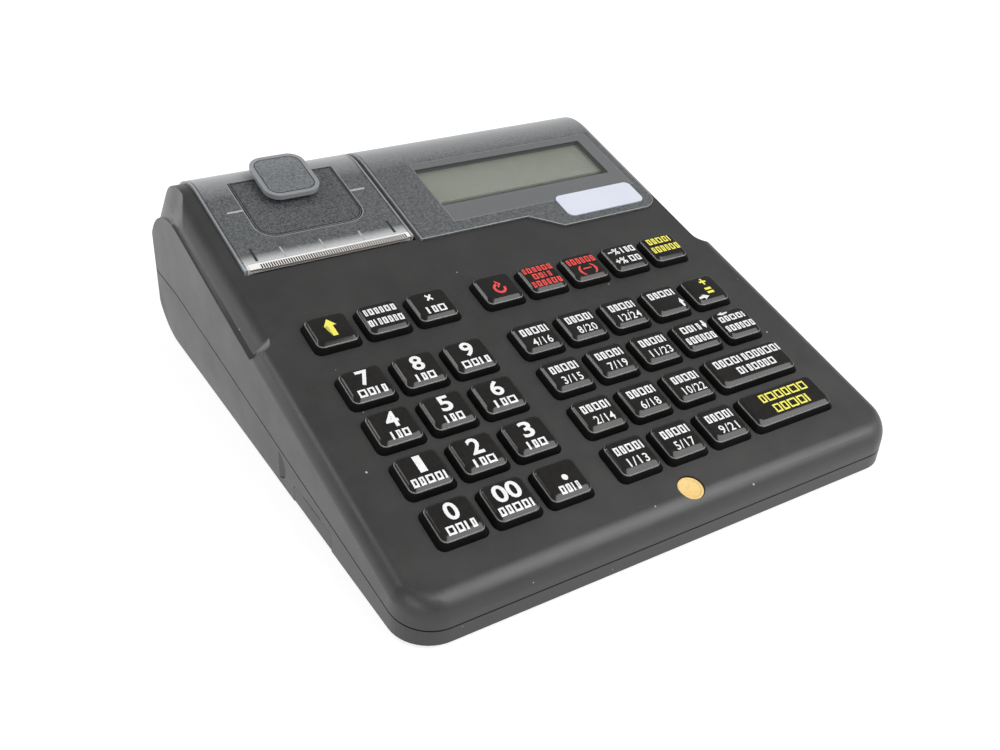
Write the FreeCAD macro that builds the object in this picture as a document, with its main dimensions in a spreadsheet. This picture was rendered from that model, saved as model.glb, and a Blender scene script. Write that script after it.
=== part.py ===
import FreeCAD
import Part
import Sketcher
import math
import os
from types import SimpleNamespace

Vector = FreeCAD.Vector

# A small desk cash register: a wedge casing with a sloping key deck, a roll printer
# behind it on the left and a two-line display on the right.
# +X is the operator's right, +Y the back and +Z up. The origin is on the table, at the
# middle of the casing's outline. A place on the key deck is given by x, by the distance
# along the deck from the front wall, and by the height above the deck.

# Driving dimensions, in millimetres and degrees.
SIZES = {
    # casing
    "case_width": 194.0,
    "case_depth": 213.6,
    "front_height": 13.8,
    "deck_angle": 14.4,
    "rear_round": 21.7,
    "tail_round": 23.0,
    "front_corner": 13.0,
    "rear_corner": 5.0,
    "top_fillet": 5.0,
    "front_fillet": 8.0,
    "wall": 2.2,
    "foot_proud": 1.2,
    "overrun": 12.0,
    # seam between the two shells
    "seam_front": 5.3,
    "seam_rear": 23.5,
    "seam_level_run": 29.0,
    "seam_gap": 0.5,
    "lip_wall": 1.0,
    "lip_height": 2.2,
    "lip_clearance": 0.15,
    # sloping shoulder beside the printer and the display
    "crest_inset": 7.0,
    "valley_inset": 2.0,
    "shoulder_drop": 6.2,
    "shoulder_start": 114.0,
    "cheek_round": 30.0,
    # keyboard
    "pitch_across": 19.0,
    "pitch_along": 19.13,
    "keyboard_half_span": 70.45,
    "first_row_along": 23.75,
    "function_row_step": 26.5,
    "key_length": 16.9,
    "key_width": 14.9,
    "key_corner": 2.4,
    "skirt_height": 1.7,
    "crown_height": 1.5,
    "crown_side_bevel": 0.8,
    "crown_front_bevel": 2.2,
    "crown_back_bevel": 0.7,
    "crown_corner": 1.6,
    "key_clearance": 0.25,
    "flange_lip": 0.7,
    "flange_thickness": 0.8,
    "flange_gap": 0.1,
    "stem_radius": 2.0,
    "stem_length": 2.0,
    "key_travel": 2.0,
    "stem_clearance": 0.3,
    # rubber key mat and circuit board under the deck
    "mat_thickness": 1.4,
    "mat_margin": 2.0,
    "dome_wall": 1.2,
    "dome_height": 1.8,
    "dome_gap": 0.6,
    "board_thickness": 1.6,
    "board_margin": 3.5,
    "post_radius": 3.0,
    # printer bay and its cover
    "bay_left": 11.2,
    "bay_right": 77.7,
    "tear_along": 145.2,
    "slot_front": 0.9,
    "cover_gap": 0.4,
    "cover_front": 0.8,
    "cover_proud": 0.9,
    "cover_thickness": 2.0,
    "cover_side_wall": 1.6,
    "cover_side_depth": 4.2,
    "cover_rear_angle": 48.0,
    "hinge_depth": 1.4,
    "hinge_barrel_radius": 2.2,
    "hinge_gap": 0.35,
    "hinge_lug_length": 1.2,
    "hinge_pin_radius": 0.8,
    "hinge_pin_length": 1.4,
    "running_clearance": 0.08,
    # release lever in the cover
    "lever_left": 24.4,
    "lever_right": 65.6,
    "lever_front": 160.9,
    "lever_rear": 194.0,
    "lever_gap": 0.35,
    "lever_thickness": 1.8,
    "lever_corner": 7.0,
    "lever_pivot": 177.6,
    "lever_pin_radius": 0.9,
    "lever_pin_reach": 3.4,
    "lever_pin_drop": 0.9,
    "lever_block": 2.6,
    "tab_left": 33.4,
    "tab_right": 55.2,
    "tab_front": 176.8,
    "tab_rear": 201.4,
    "tab_rise": 2.2,
    "tab_thickness": 1.9,
    "tab_corner": 6.0,
    "tab_neck_side": 4.5,
    "tab_neck_front": 183.0,
    "tab_neck_rear": 191.5,
    # tear bar
    "paper_left": 17.8,
    "paper_width": 57.0,
    "tooth_count": 75,
    "tooth_depth": 0.6,
    "bar_left": 13.8,
    "bar_right": 76.2,
    "bar_depth": 3.6,
    "bar_thickness": 0.6,
    "bar_sink": 0.1,
    "bar_fit": 0.05,
    # print mechanism
    "platen_along": 6.5,
    "platen_depth": 8.5,
    "platen_radius": 5.0,
    "shaft_radius": 1.5,
    "platen_ear_radius": 3.2,
    "gear_module": 0.5,
    "platen_teeth": 26,
    "pinion_teeth": 20,
    "gear_width": 2.4,
    "gear_side_gap": 0.5,
    "gear_backlash": 0.22,
    "mesh_angle": 240.0,
    "spindle_radius": 0.75,
    "spindle_length": 4.0,
    "motor_radius": 6.0,
    "motor_length": 20.0,
    "seat_gap": 0.3,
    "head_thickness": 3.5,
    "head_height": 4.9,
    "tray_wall": 1.6,
    "tray_gap": 0.2,
    "tray_front": 31.4,
    "tray_rear": 94.2,
    "roll_radius": 22.5,
    "roll_clearance": 1.0,
    "roll_y": 69.2,
    "roll_z": 28.8,
    # display
    "window_left": 79.1,
    "window_side_inset": 8.1,
    "window_front": 143.1,
    "window_nose": 133.8,
    "nose_left": 138.1,
    "nose_ramp": 11.6,
    "window_corner": 8.0,
    "window_fit": 0.15,
    "window_rear_angle": 62.0,
    "window_ledge": 0.9,
    "view_left": 97.0,
    "view_right": 182.0,
    "view_front": 149.6,
    "view_rear": 187.4,
    "module_margin": 1.8,
    "module_depth": 8.5,
    "glass_left": 99.5,
    "glass_right": 179.5,
    "glass_front": 164.9,
    "glass_rear": 186.2,
    "glass_drop": 1.4,
    # label plate and seal
    "label_length": 37.2,
    "label_width": 13.0,
    "label_x": 161.4,
    "label_along": 143.8,
    "label_thickness": 0.7,
    "label_corner": 2.6,
    "seal_x": 103.7,
    "seal_along": 7.4,
    "seal_radius": 4.4,
    "seal_thickness": 1.3,
    "seal_drop": 0.5,
    "well_clearance": 0.25,
    # underside, sides and back
    "foot_radius": 5.0,
    "foot_recess": 0.8,
    "foot_inset": 17.0,
    "boss_radius": 3.6,
    "boss_inset_side": 9.2,
    "boss_inset_front": 15.0,
    "boss_inset_rear": 20.8,
    "rear_boss_left": 86.8,
    "rear_boss_right": 175.0,
    "screw_radius": 1.4,
    "screw_head_radius": 2.8,
    "screw_head_height": 1.8,
    "screw_grip": 5.0,
    "screw_clearance": 0.1,
    "door_front": 50.2,
    "door_length": 27.6,
    "door_height": 6.6,
    "door_thickness": 1.5,
    "door_gap": 0.15,
    "door_corner": 1.5,
    "door_pin_radius": 0.45,
    "door_pin_length": 0.9,
    "service_width": 12.0,
    "service_height": 4.4,
    "service_length": 11.0,
    "service_mouth_width": 8.6,
    "service_mouth_height": 2.4,
    "service_mouth_depth": 8.0,
    "service_seat": 0.2,
    "notch_radius": 5.2,
    "notch_depth": 1.3,
    "notch_front": 89.6,
    "notch_height": 7.4,
    "notch_tilt": 14.0,
    "socket_pitch": 17.0,
    "socket_x": 150.0,
    "socket_height": 8.4,
    "socket_width": 13.0,
    "socket_body": 11.6,
    "socket_length": 14.0,
    "socket_mouth_width": 9.8,
    "socket_mouth_height": 6.8,
    "socket_mouth_depth": 11.0,
    "jack_radius": 3.2,
    "jack_pin_radius": 1.0,
}

doc = FreeCAD.newDocument("ticket_register")
sheet = doc.addObject("Spreadsheet::Sheet", "sizes")
for line, (name, value) in enumerate(SIZES.items(), 1):
    sheet.set(f"A{line}", name.replace("_", " "))
    sheet.set(f"B{line}", str(value))
    sheet.setAlias(f"B{line}", name)
doc.recompute()
s = SimpleNamespace(**{name: float(sheet.get(name)) for name in SIZES})

# Lines that follow from the driving dimensions.
half_width = s.case_width / 2
half_depth = s.case_depth / 2
underside = s.foot_proud
slope = math.radians(s.deck_angle)
rise = math.sin(slope)
run = math.cos(slope)
deck_foot = underside + s.front_height
parts = {}


# Places and plain solids

def deck(x, along, above=0):
    """The point at x, a distance along the deck from the front wall and a height above it."""
    y = -half_depth + along * run - above * rise
    z = deck_foot + along * rise + above * run
    return Vector(x, y, z)


def on_deck(x, along, above=0):
    """A placement on the deck, with its own Z square to the deck."""
    return FreeCAD.Placement(deck(x, along, above), FreeCAD.Rotation(Vector(1, 0, 0), s.deck_angle))


def from_left(distance):
    """The x of a place measured from the casing's left side."""
    return distance - half_width


def block(x0, x1, y0, y1, z0, z1):
    return Part.makeBox(x1 - x0, y1 - y0, z1 - z0, Vector(x0, y0, z0))


def deck_block(x0, x1, along0, along1, above0, above1):
    solid = Part.makeBox(x1 - x0, along1 - along0, above1 - above0)
    solid.Placement = on_deck(x0, along0, above0)
    return solid


def across(x0, x1, centre, radius):
    """A cylinder along X, round a centre given as a vector."""
    return Part.makeCylinder(radius, x1 - x0, Vector(x0, centre.y, centre.z), Vector(1, 0, 0))


def side_slab(points, x0, x1):
    """A solid with a side view drawn by its points, from x0 to x1."""
    outline = Part.makePolygon([Vector(x0, p.y, p.z) for p in points + points[:1]])
    return Part.Face(outline).extrude(Vector(x1 - x0, 0, 0))


def rounded_plate(length, width, corner, thickness):
    """A plate with four rounded corners, centred on its own origin and standing on it."""
    plate = Part.makeBox(length, width, thickness, Vector(-length / 2, -width / 2, 0))
    upright = [edge for edge in plate.Edges if abs(edge.tangentAt(edge.FirstParameter).z) > rise]
    return plate.makeFillet(corner, upright)


def add(label, shape, placement=None):
    """A sub-part with its shape made from the named sizes."""
    piece = doc.addObject("Part::Feature", label)
    piece.Label = label
    piece.Shape = shape
    if placement:
        piece.Placement = placement
    parts[label] = piece
    return piece


def keep(label, piece):
    """Names a parametric object as a sub-part."""
    piece.Label = label
    parts[label] = piece
    return piece


def bind(piece, **rules):
    """Ties a piece's properties to cells of the sheet."""
    for name, rule in rules.items():
        piece.setExpression(name, rule)
    return piece


# The casing's side view: the deck, the rounding over the rear edge and the rear wall

round_centre = Vector(0, half_depth - s.rear_round, 0)
round_centre.z = deck_foot + (round_centre.y + half_depth) * math.tan(slope) - s.rear_round / run


def rim_point(angle, inset=0):
    """A point on the rear rounding, at an angle from straight up towards the back."""
    reach = s.rear_round - inset
    return round_centre + Vector(0, math.sin(angle), math.cos(angle)) * reach


def front_point(inset):
    """Where the deck, moved in by inset, meets the front wall, moved in alike."""
    return Vector(0, -half_depth + inset, deck_foot + inset * math.tan(slope) - inset / run)


def skin_edges(inset):
    """The casing's outline from the front wall over the deck to the rear wall."""
    start = front_point(inset)
    crest = rim_point(-slope, inset)
    middle = rim_point((math.pi / 2 - slope) / 2, inset)
    end = rim_point(math.pi / 2, inset)
    return [Part.LineSegment(start, crest).toShape(), Part.Arc(crest, middle, end).toShape()]


def under_skin(inset, x0, x1, floor_points):
    """The solid under the casing's outline, closed by the points that follow below."""
    edges = skin_edges(inset)
    corners = [rim_point(math.pi / 2, inset)] + floor_points + [front_point(inset)]
    for first, second in zip(corners, corners[1:]):
        edges.append(Part.LineSegment(first, second).toShape())
    face = Part.Face(Part.Wire(edges))
    face.translate(Vector(x0, 0, 0))
    return face.extrude(Vector(x1 - x0, 0, 0))


def seam_points(shift, inset=0):
    """The seam from the back to the front, moved up by shift."""
    bend = half_depth - s.seam_level_run
    return [
        Vector(0, half_depth - inset, underside + s.seam_rear + shift),
        Vector(0, bend, underside + s.seam_rear + shift),
        Vector(0, -half_depth + inset, underside + s.seam_front + shift),
    ]


def upright_edges(shape, y):
    """The upright edges of a casing at its front or back."""
    return [
        edge
        for edge in shape.Edges
        if abs(edge.tangentAt(edge.FirstParameter).z) > run and abs(edge.CenterOfMass.y - y) < s.wall
    ]


def skin_shell(outside, inside, x0, x1):
    """A sheet that follows the casing's outline between two heights above it."""
    floor = [Vector(0, half_depth, underside), Vector(0, -half_depth, underside)]
    outer = under_skin(-outside, x0, x1, floor)
    return outer.cut(under_skin(-inside, x0 - s.overrun, x1 + s.overrun, floor))


# The shoulder beside the printer and the display, where the sides step down from the crest

def cheek_edges(x, depth, inset):
    """The lower outline of the side, the shoulder's depth below the deck."""
    back = half_depth - inset
    radius = s.cheek_round - inset
    centre = Vector(0, back - radius, 0)
    level = deck_foot + (centre.y + half_depth) * math.tan(slope) - depth / run
    centre.z = level - radius / run
    start = deck(x, s.shoulder_start, -depth)
    crest = centre + Vector(x, -rise * radius, run * radius)
    middle_angle = (math.pi / 2 - slope) / 2
    middle = centre + Vector(x, math.sin(middle_angle) * radius, math.cos(middle_angle) * radius)
    end = centre + Vector(x, radius, 0)
    return [
        Part.LineSegment(start, crest).toShape(),
        Part.Arc(crest, middle, end).toShape(),
    ], start, end


def outer_ring(x, edges, start, end):
    """Closes an outline round the outside, above and behind the casing."""
    top = deck(x, s.shoulder_start, s.overrun)
    roof = Vector(x, end.y + s.overrun, top.z + half_depth)
    corner = Vector(x, end.y + s.overrun, end.z)
    front_roof = Vector(x, top.y, roof.z)
    path = [end, corner, roof, front_roof, start]
    lines = [Part.LineSegment(a, b).toShape() for a, b in zip(path, path[1:])]
    return Part.Wire(edges + lines)


def crest_edges(x, inset):
    """The skin's outline from the shoulder's front end to the rear wall."""
    start = deck(x, s.shoulder_start, -inset)
    crest = rim_point(-slope, inset) + Vector(x, 0, 0)
    middle = rim_point((math.pi / 2 - slope) / 2, inset) + Vector(x, 0, 0)
    end = rim_point(math.pi / 2, inset) + Vector(x, 0, 0)
    return [
        Part.LineSegment(start, crest).toShape(),
        Part.Arc(crest, middle, end).toShape(),
    ], start, end


def shoulder_cutter(inset):
    """What the shoulder takes off the right side, grown inwards by inset."""
    crest_x = half_width - s.crest_inset - inset
    valley_x = half_width - s.valley_inset - inset / 2
    outside_x = half_width + s.overrun
    depth = s.shoulder_drop + inset
    crest = outer_ring(crest_x, *crest_edges(crest_x, inset))
    valley = outer_ring(valley_x, *cheek_edges(valley_x, depth, inset))
    outside = outer_ring(outside_x, *cheek_edges(outside_x, depth, inset))
    slant = Part.makeLoft([crest, valley], True, True)
    flat = Part.makeLoft([valley, outside], True, True)
    return slant.fuse(flat).fuse(shoulder_nose(crest_x, valley_x, depth, inset))


def shoulder_nose(crest_x, valley_x, depth, inset):
    """The rounded front end of the shoulder: the same slant, turned about the side."""
    axis_x = half_width
    top = s.overrun
    section = [
        Vector(axis_x - crest_x, 0, top),
        Vector(axis_x - crest_x, 0, -inset),
        Vector(axis_x - valley_x, 0, -depth),
        Vector(0, 0, -depth),
        Vector(0, 0, top),
    ]
    face = Part.Face(Part.makePolygon(section + section[:1]))
    nose = face.revolve(Vector(0, 0, 0), Vector(0, 0, 1), 360)
    nose.Placement = on_deck(axis_x, s.shoulder_start, 0)
    return nose


def both_sides(solid):
    return solid.fuse(solid.mirror(Vector(0, 0, 0), Vector(1, 0, 0)))


# The two shells of the casing

def top_block(inset, seam_shift):
    """The upper shell's outside, or its inside when inset by the wall."""
    x = half_width - inset
    solid = under_skin(inset, -x, x, seam_points(seam_shift, inset))
    solid = solid.makeFillet(s.front_corner - inset, upright_edges(solid, -half_depth + inset))
    return rounded_rim(solid, inset).cut(both_sides(shoulder_cutter(inset)))


def rounded_rim(solid, inset):
    """The top's fillet: wide along the front, and narrowing round the front corners to the sides."""
    side = s.top_fillet - min(inset, s.top_fillet / 2)
    front = s.front_fillet - min(inset, s.front_fillet / 2)
    radii = []
    for edge in rim_edges(solid, inset):
        number = next(k for k, other in enumerate(solid.Edges, 1) if other.isSame(edge))
        ends = sorted((vertex.Point for vertex in edge.Vertexes), key=lambda p: p.x)
        radii.append([number] + [front if p.y < -half_depth + s.front_corner / 2 else side for p in ends])
    blank = doc.addObject("Part::Feature", "unrounded_top")
    blank.Shape = solid
    fillet = doc.addObject("Part::Fillet", "rounded_top")
    fillet.Base = blank
    fillet.Edges = [tuple(row) for row in radii]
    doc.recompute()
    return fillet.Shape


def rim_edges(solid, inset):
    """The edges round the top: the sides of the deck, its front corners and its front."""
    chosen = []
    for edge in solid.Edges:
        middle = edge.valueAt((edge.FirstParameter + edge.LastParameter) / 2)
        ends = [vertex.Point for vertex in edge.Vertexes]
        level = [deck_foot + (p.y + half_depth) * math.tan(slope) - inset / run for p in ends]
        on_plane = all(abs(p.z - z) < s.lip_clearance for p, z in zip(ends, level))
        runs_across = abs(ends[0].x - ends[-1].x) > half_width and middle.y > 0
        if on_plane and not runs_across:
            chosen.append(edge)
    return chosen


def base_block(inset, seam_shift):
    """The lower shell's outside, or its inside when inset by the wall."""
    x = half_width - inset
    floor = underside + inset
    outline = seam_points(seam_shift, inset)
    outline += [Vector(0, -half_depth + inset, floor), Vector(0, half_depth - inset, floor)]
    solid = side_slab(outline, -x, x)
    solid = solid.makeFillet(s.front_corner - inset, upright_edges(solid, -half_depth + inset))
    solid = solid.makeFillet(s.rear_corner - inset, upright_edges(solid, half_depth - inset))
    return solid.cut(tail_cutter(inset, x))


def tail_cutter(inset, x):
    """What the rounding under the rear takes off."""
    centre = Vector(0, half_depth - s.tail_round, underside + s.tail_round)
    corner = block(-x - s.wall, x + s.wall, centre.y, half_depth + s.wall, -s.wall, centre.z)
    return corner.cut(across(-x - s.wall, x + s.wall, centre, s.tail_round - inset))


def boss_places():
    """The four screws that hold the shells together, the rear two beside the printer bay."""
    x = half_width - s.boss_inset_side
    front = -half_depth + s.boss_inset_front
    rear = half_depth - s.boss_inset_rear
    return [
        (-x, front),
        (x, front),
        (from_left(s.rear_boss_left), rear),
        (from_left(s.rear_boss_right), rear),
    ]


def foot_places():
    x = half_width - s.foot_inset - s.foot_radius
    y = half_depth - s.foot_inset - s.foot_radius
    return [(side * x, end) for side in (-1, 1) for end in (-y, y - s.tail_round)]


# Keyboard layout

LEFT_COLUMNS = 3
RIGHT_COLUMNS = 5
ROWS_UP = 3


def column_x(column):
    """Columns 0 to 2 are the number block, 3 to 7 the block on the right."""
    if column < LEFT_COLUMNS:
        return -s.keyboard_half_span + column * s.pitch_across
    return s.keyboard_half_span - (LEFT_COLUMNS + RIGHT_COLUMNS - 1 - column) * s.pitch_across


def row_along(row):
    """Rows 0 to 3 are the main rows from the front, row 4 the function row."""
    if row > ROWS_UP:
        return s.first_row_along + ROWS_UP * s.pitch_along + s.function_row_step
    return s.first_row_along + row * s.pitch_along


NUMBER_ROWS = [["0", "00", "point"], ["1", "2", "3"], ["4", "5", "6"], ["7", "8", "9"]]
RIGHT_ROWS = [
    ["dept_1", "dept_5", "dept_9"],
    ["dept_2", "dept_6", "dept_10"],
    ["dept_3", "dept_7", "dept_11", "price", "card"],
    ["dept_4", "dept_8", "dept_12", "item", "report"],
]
FUNCTION_LEFT = ["up", "mode", "times"]
FUNCTION_RIGHT = ["clear", "void", "change", "percent", "operator"]
WIDE_KEYS = ["total", "subtotal"]


def key_list():
    """Every key: its name, x, place along the deck and whether it is double length."""
    keys = []
    for row, names in enumerate(NUMBER_ROWS):
        keys += [(name, column_x(i), row_along(row), False) for i, name in enumerate(names)]
    for row, names in enumerate(RIGHT_ROWS):
        keys += [
            (name, column_x(LEFT_COLUMNS + i), row_along(row), False) for i, name in enumerate(names)
        ]
    top = ROWS_UP + 1
    keys += [(name, column_x(i), row_along(top), False) for i, name in enumerate(FUNCTION_LEFT)]
    keys += [
        (name, column_x(LEFT_COLUMNS + i), row_along(top), False)
        for i, name in enumerate(FUNCTION_RIGHT)
    ]
    last = column_x(LEFT_COLUMNS + RIGHT_COLUMNS - 1)
    wide_x = last - s.pitch_across / 2
    keys += [(name, wide_x, row_along(row), True) for row, name in enumerate(WIDE_KEYS)]
    return keys


def key_plan_length(wide):
    return s.key_length + (s.pitch_across if wide else 0)


# Keys: a black plunger with a flange under the deck, and a clear cap with a bevelled crown

def origin_plane(body, role):
    return next(item for item in body.Origin.OriginFeatures if item.Role == role)


def rounded_sketch(body, name, length, width, corner, lift, back="0 mm"):
    """A rounded rectangle in the body's XY plane, raised by lift and moved towards the back."""
    sketch = body.newObject("Sketcher::SketchObject", name)
    sketch.AttachmentSupport = (origin_plane(body, "XY_Plane"), [""])
    sketch.MapMode = "FlatFace"
    sketch.setExpression(".AttachmentOffset.Base.z", lift)
    sketch.setExpression(".AttachmentOffset.Base.y", back)
    a = s.key_length / 2
    b = s.key_width / 2
    r = s.key_corner
    straight = [
        ((-a + r, -b), (a - r, -b)),
        ((a, -b + r), (a, b - r)),
        ((a - r, b), (-a + r, b)),
        ((-a, b - r), (-a, -b + r)),
    ]
    lines = [Part.LineSegment(Vector(*p, 0), Vector(*q, 0)) for p, q in straight]
    centres = [(a - r, -b + r), (a - r, b - r), (-a + r, b - r), (-a + r, -b + r)]
    quarter = math.pi / 2
    arcs = [
        Part.ArcOfCircle(Part.Circle(Vector(*c, 0), Vector(0, 0, 1), r), (k - 1) * quarter, k * quarter)
        for k, c in enumerate(centres)
    ]
    sketch.addGeometry(lines + arcs, False)
    rules = []
    for k in range(4):
        rules.append(Sketcher.Constraint("Tangent", k, 2, 4 + k, 1))
        rules.append(Sketcher.Constraint("Tangent", 4 + k, 2, (k + 1) % 4, 1))
        rules.append(Sketcher.Constraint("Vertical" if k % 2 else "Horizontal", k))
    rules += [Sketcher.Constraint("Equal", 4, other) for other in (5, 6, 7)]
    rules.append(Sketcher.Constraint("Symmetric", 0, 1, 2, 1, -1, 1))
    sketch.addConstraint(rules)
    measures = [
        ("length", Sketcher.Constraint("DistanceX", 3, 1, 1, 1, 2 * a), length),
        ("width", Sketcher.Constraint("DistanceY", 0, 1, 2, 1, 2 * b), width),
        ("corner", Sketcher.Constraint("Radius", 4, r), corner),
    ]
    for measure, rule, cell in measures:
        index = sketch.addConstraint(rule)
        sketch.renameConstraint(index, measure)
        sketch.setExpression("Constraints." + measure, cell)
    return sketch


def pad(body, name, sketch, length, downwards=False):
    feature = body.newObject("PartDesign::Pad", name)
    feature.Profile = sketch
    feature.Reversed = downwards
    feature.setExpression("Length", length)
    return feature


def make_key(name, x, along, wide):
    body = doc.addObject("PartDesign::Body", "key_" + name)
    length = "sizes.key_length + sizes.pitch_across" if wide else "sizes.key_length"
    low = "-sizes.wall - sizes.flange_gap"
    skirt = rounded_sketch(body, "skirt_outline", length, "sizes.key_width", "sizes.key_corner", low)
    pad(body, "skirt", skirt, "sizes.wall + sizes.flange_gap + sizes.skirt_height")
    lip = " + 2 * sizes.flange_lip"
    corner = "sizes.key_corner + sizes.flange_lip"
    flange = rounded_sketch(body, "flange_outline", length + lip, "sizes.key_width" + lip, corner, low)
    pad(body, "flange", flange, "sizes.flange_thickness", True)
    rim = rounded_sketch(
        body, "crown_rim", length, "sizes.key_width", "sizes.key_corner", "sizes.skirt_height"
    )
    top = rounded_sketch(
        body,
        "crown_top",
        length + " - 2 * sizes.crown_side_bevel",
        "sizes.key_width - sizes.crown_front_bevel - sizes.crown_back_bevel",
        "sizes.crown_corner",
        "sizes.skirt_height + sizes.crown_height",
        "(sizes.crown_front_bevel - sizes.crown_back_bevel) / 2",
    )
    crown = body.newObject("PartDesign::AdditiveLoft", "crown")
    crown.Profile = rim
    crown.Sections = [top]
    crown.Ruled = True
    stem = body.newObject("PartDesign::AdditiveCylinder", "stem")
    stem.AttachmentSupport = (origin_plane(body, "XY_Plane"), [""])
    stem.MapMode = "FlatFace"
    stem.setExpression(
        ".AttachmentOffset.Base.z",
        "-sizes.wall - sizes.flange_gap - sizes.flange_thickness - sizes.stem_length",
    )
    bind(stem, Radius="sizes.stem_radius", Height="sizes.stem_length + sizes.flange_thickness / 2")
    body.Placement = on_deck(x, along)
    keep("key_" + name, body)


def key_hole(x, along, wide, clearance, above0, above1):
    plate = rounded_plate(
        key_plan_length(wide) + 2 * clearance,
        s.key_width + 2 * clearance,
        s.key_corner + clearance,
        above1 - above0,
    )
    plate.Placement = on_deck(x, along, above0)
    return plate


# Depths under the deck

flange_foot = s.wall + s.flange_gap + s.flange_thickness
stem_foot = flange_foot + s.stem_length
mat_top = stem_foot + s.key_travel + s.stem_clearance
board_top = mat_top + s.mat_thickness
board_foot = board_top + s.board_thickness


def mat_range(margin):
    """The mat's or board's edges round the keys, further out by margin."""
    x = s.keyboard_half_span + s.key_length / 2 + margin
    front = s.first_row_along - s.key_width / 2 - margin
    back = row_along(ROWS_UP + 1) + s.key_width / 2 + margin
    return -x, x, front, back


def make_key_mat():
    x0, x1, front, back = mat_range(s.mat_margin)
    sheet_solid = deck_block(x0, x1, front, back, -mat_top - s.mat_thickness, -mat_top)
    inner = s.stem_radius + s.dome_gap
    domes = []
    for name, x, along, wide in key_list():
        dome = Part.makeCylinder(inner + s.dome_wall, s.dome_height)
        dome = dome.cut(Part.makeCylinder(inner, s.dome_height))
        dome.Placement = on_deck(x, along, -mat_top)
        domes.append(dome)
    return add("key_mat", sheet_solid.multiFuse(domes).removeSplitter())


def make_main_board():
    """The board under the mat, a plain box bound to the same cells as the keys."""
    board = doc.addObject("Part::Box", "main_board")
    margin = "sizes.board_margin"
    bind(
        board,
        Length="2 * sizes.keyboard_half_span + sizes.key_length + 2 * " + margin,
        Width="3 * sizes.pitch_along + sizes.function_row_step + sizes.key_width + 2 * " + margin,
        Height="sizes.board_thickness",
    )
    x0, x1, front, back = mat_range(s.board_margin)
    board.Placement = on_deck(x0, front, -board_foot)
    return keep("main_board", board)


# Printer bay: measured from the casing's left side

bay_x0 = from_left(s.bay_left)
bay_x1 = from_left(s.bay_right)
cover_x0 = bay_x0 + s.cover_gap
cover_x1 = bay_x1 - s.cover_gap
cover_front = s.tear_along + s.cover_front
rear_angle = math.radians(s.cover_rear_angle)
hinge_point = rim_point(rear_angle, s.hinge_depth)
platen_axis = deck(0, s.tear_along + s.platen_along, -s.platen_depth)
gear_distance = s.gear_module * (s.platen_teeth + s.pinion_teeth) / 2
mesh = math.radians(s.mesh_angle)
pinion_along = s.tear_along + s.platen_along + gear_distance * math.cos(mesh)
pinion_above = -s.platen_depth + gear_distance * math.sin(mesh)
pinion_axis = deck(0, pinion_along, pinion_above)
roll_centre = Vector(0, s.roll_y, s.roll_z)


def bay_region(x0, x1, front, angle):
    """Everything above and below the skin from a front line back to an angle of the rear rounding."""
    reach = s.rear_round + s.overrun
    low = deck(0, front, -s.overrun)
    back = round_centre + Vector(0, math.sin(angle), math.cos(angle)) * reach
    high = deck(0, front, s.overrun)
    roof = Vector(0, round_centre.y, round_centre.z + reach)
    return side_slab([high, low, round_centre, back, roof], x0, x1)


def cover_ear(x0, centre, radius, height):
    """An ear inside the cover's side wall, from the shell down round a centre."""
    ear = across(x0, x0 + s.cover_side_wall, centre, radius)
    stem = block(x0, x0 + s.cover_side_wall, centre.y - radius, centre.y + radius, centre.z, height)
    return ear.fuse(stem)


def make_printer_cover():
    shell = skin_shell(s.cover_proud, s.cover_proud - s.cover_thickness, cover_x0, cover_x1)
    region = bay_region(cover_x0, cover_x1, cover_front, rear_angle)
    shell = shell.common(region)
    walls = []
    inner = s.cover_proud - s.cover_thickness - s.cover_side_depth
    side = skin_shell(0, inner, cover_x0, cover_x0 + s.cover_side_wall)
    for x0 in (cover_x0, cover_x1 - s.cover_side_wall):
        wall = side.copy()
        wall.translate(Vector(x0 - cover_x0, 0, 0))
        walls.append(wall.common(region))
        walls.append(cover_ear(x0, platen_axis, s.platen_ear_radius, platen_axis.z + s.platen_depth))
    walls.append(across(cover_x0, cover_x1, hinge_point, s.hinge_barrel_radius))
    cover = shell.multiFuse(walls)
    pins = []
    for x0 in (cover_x0 - s.hinge_pin_length, cover_x1):
        pins.append(across(x0, x0 + s.hinge_pin_length, hinge_point, s.hinge_pin_radius))
    cover = cover.multiFuse(pins)
    cover = cover.cut([lever_window(), bar_rebate()])
    blocks, bores = lever_bearings()
    cover = cover.multiFuse(blocks)
    shaft_room = s.shaft_radius + s.running_clearance
    bores.append(across(cover_x0, cover_x1, platen_axis, shaft_room))
    for bore in bores:
        cover = cover.cut(bore)
    return add("printer_cover", cover.removeSplitter())


# Release lever: a clear plate that rocks in the cover, with a raised finger tab

lever_x0 = from_left(s.lever_left)
lever_x1 = from_left(s.lever_right)
lever_top = s.cover_proud
lever_foot = lever_top - s.lever_thickness
lever_pin_above = lever_foot - s.lever_pin_drop
lever_axis = deck(0, s.lever_pivot, lever_pin_above)


def lever_outline(grow, above0, above1):
    """The lever's plan, with round corners at the front."""
    x0 = lever_x0 - grow
    x1 = lever_x1 + grow
    front = s.lever_front - grow
    back = s.lever_rear + grow
    plate = Part.makeBox(x1 - x0, back - front, above1 - above0)
    upright = [
        edge
        for edge in plate.Edges
        if abs(edge.tangentAt(edge.FirstParameter).z) > rise and edge.CenterOfMass.y < s.wall
    ]
    plate = plate.makeFillet(s.lever_corner + grow, upright)
    plate.Placement = on_deck(x0, front, above0)
    return plate


def lever_window():
    return lever_outline(s.lever_gap, lever_foot - s.cover_thickness, lever_top + s.overrun)


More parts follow.
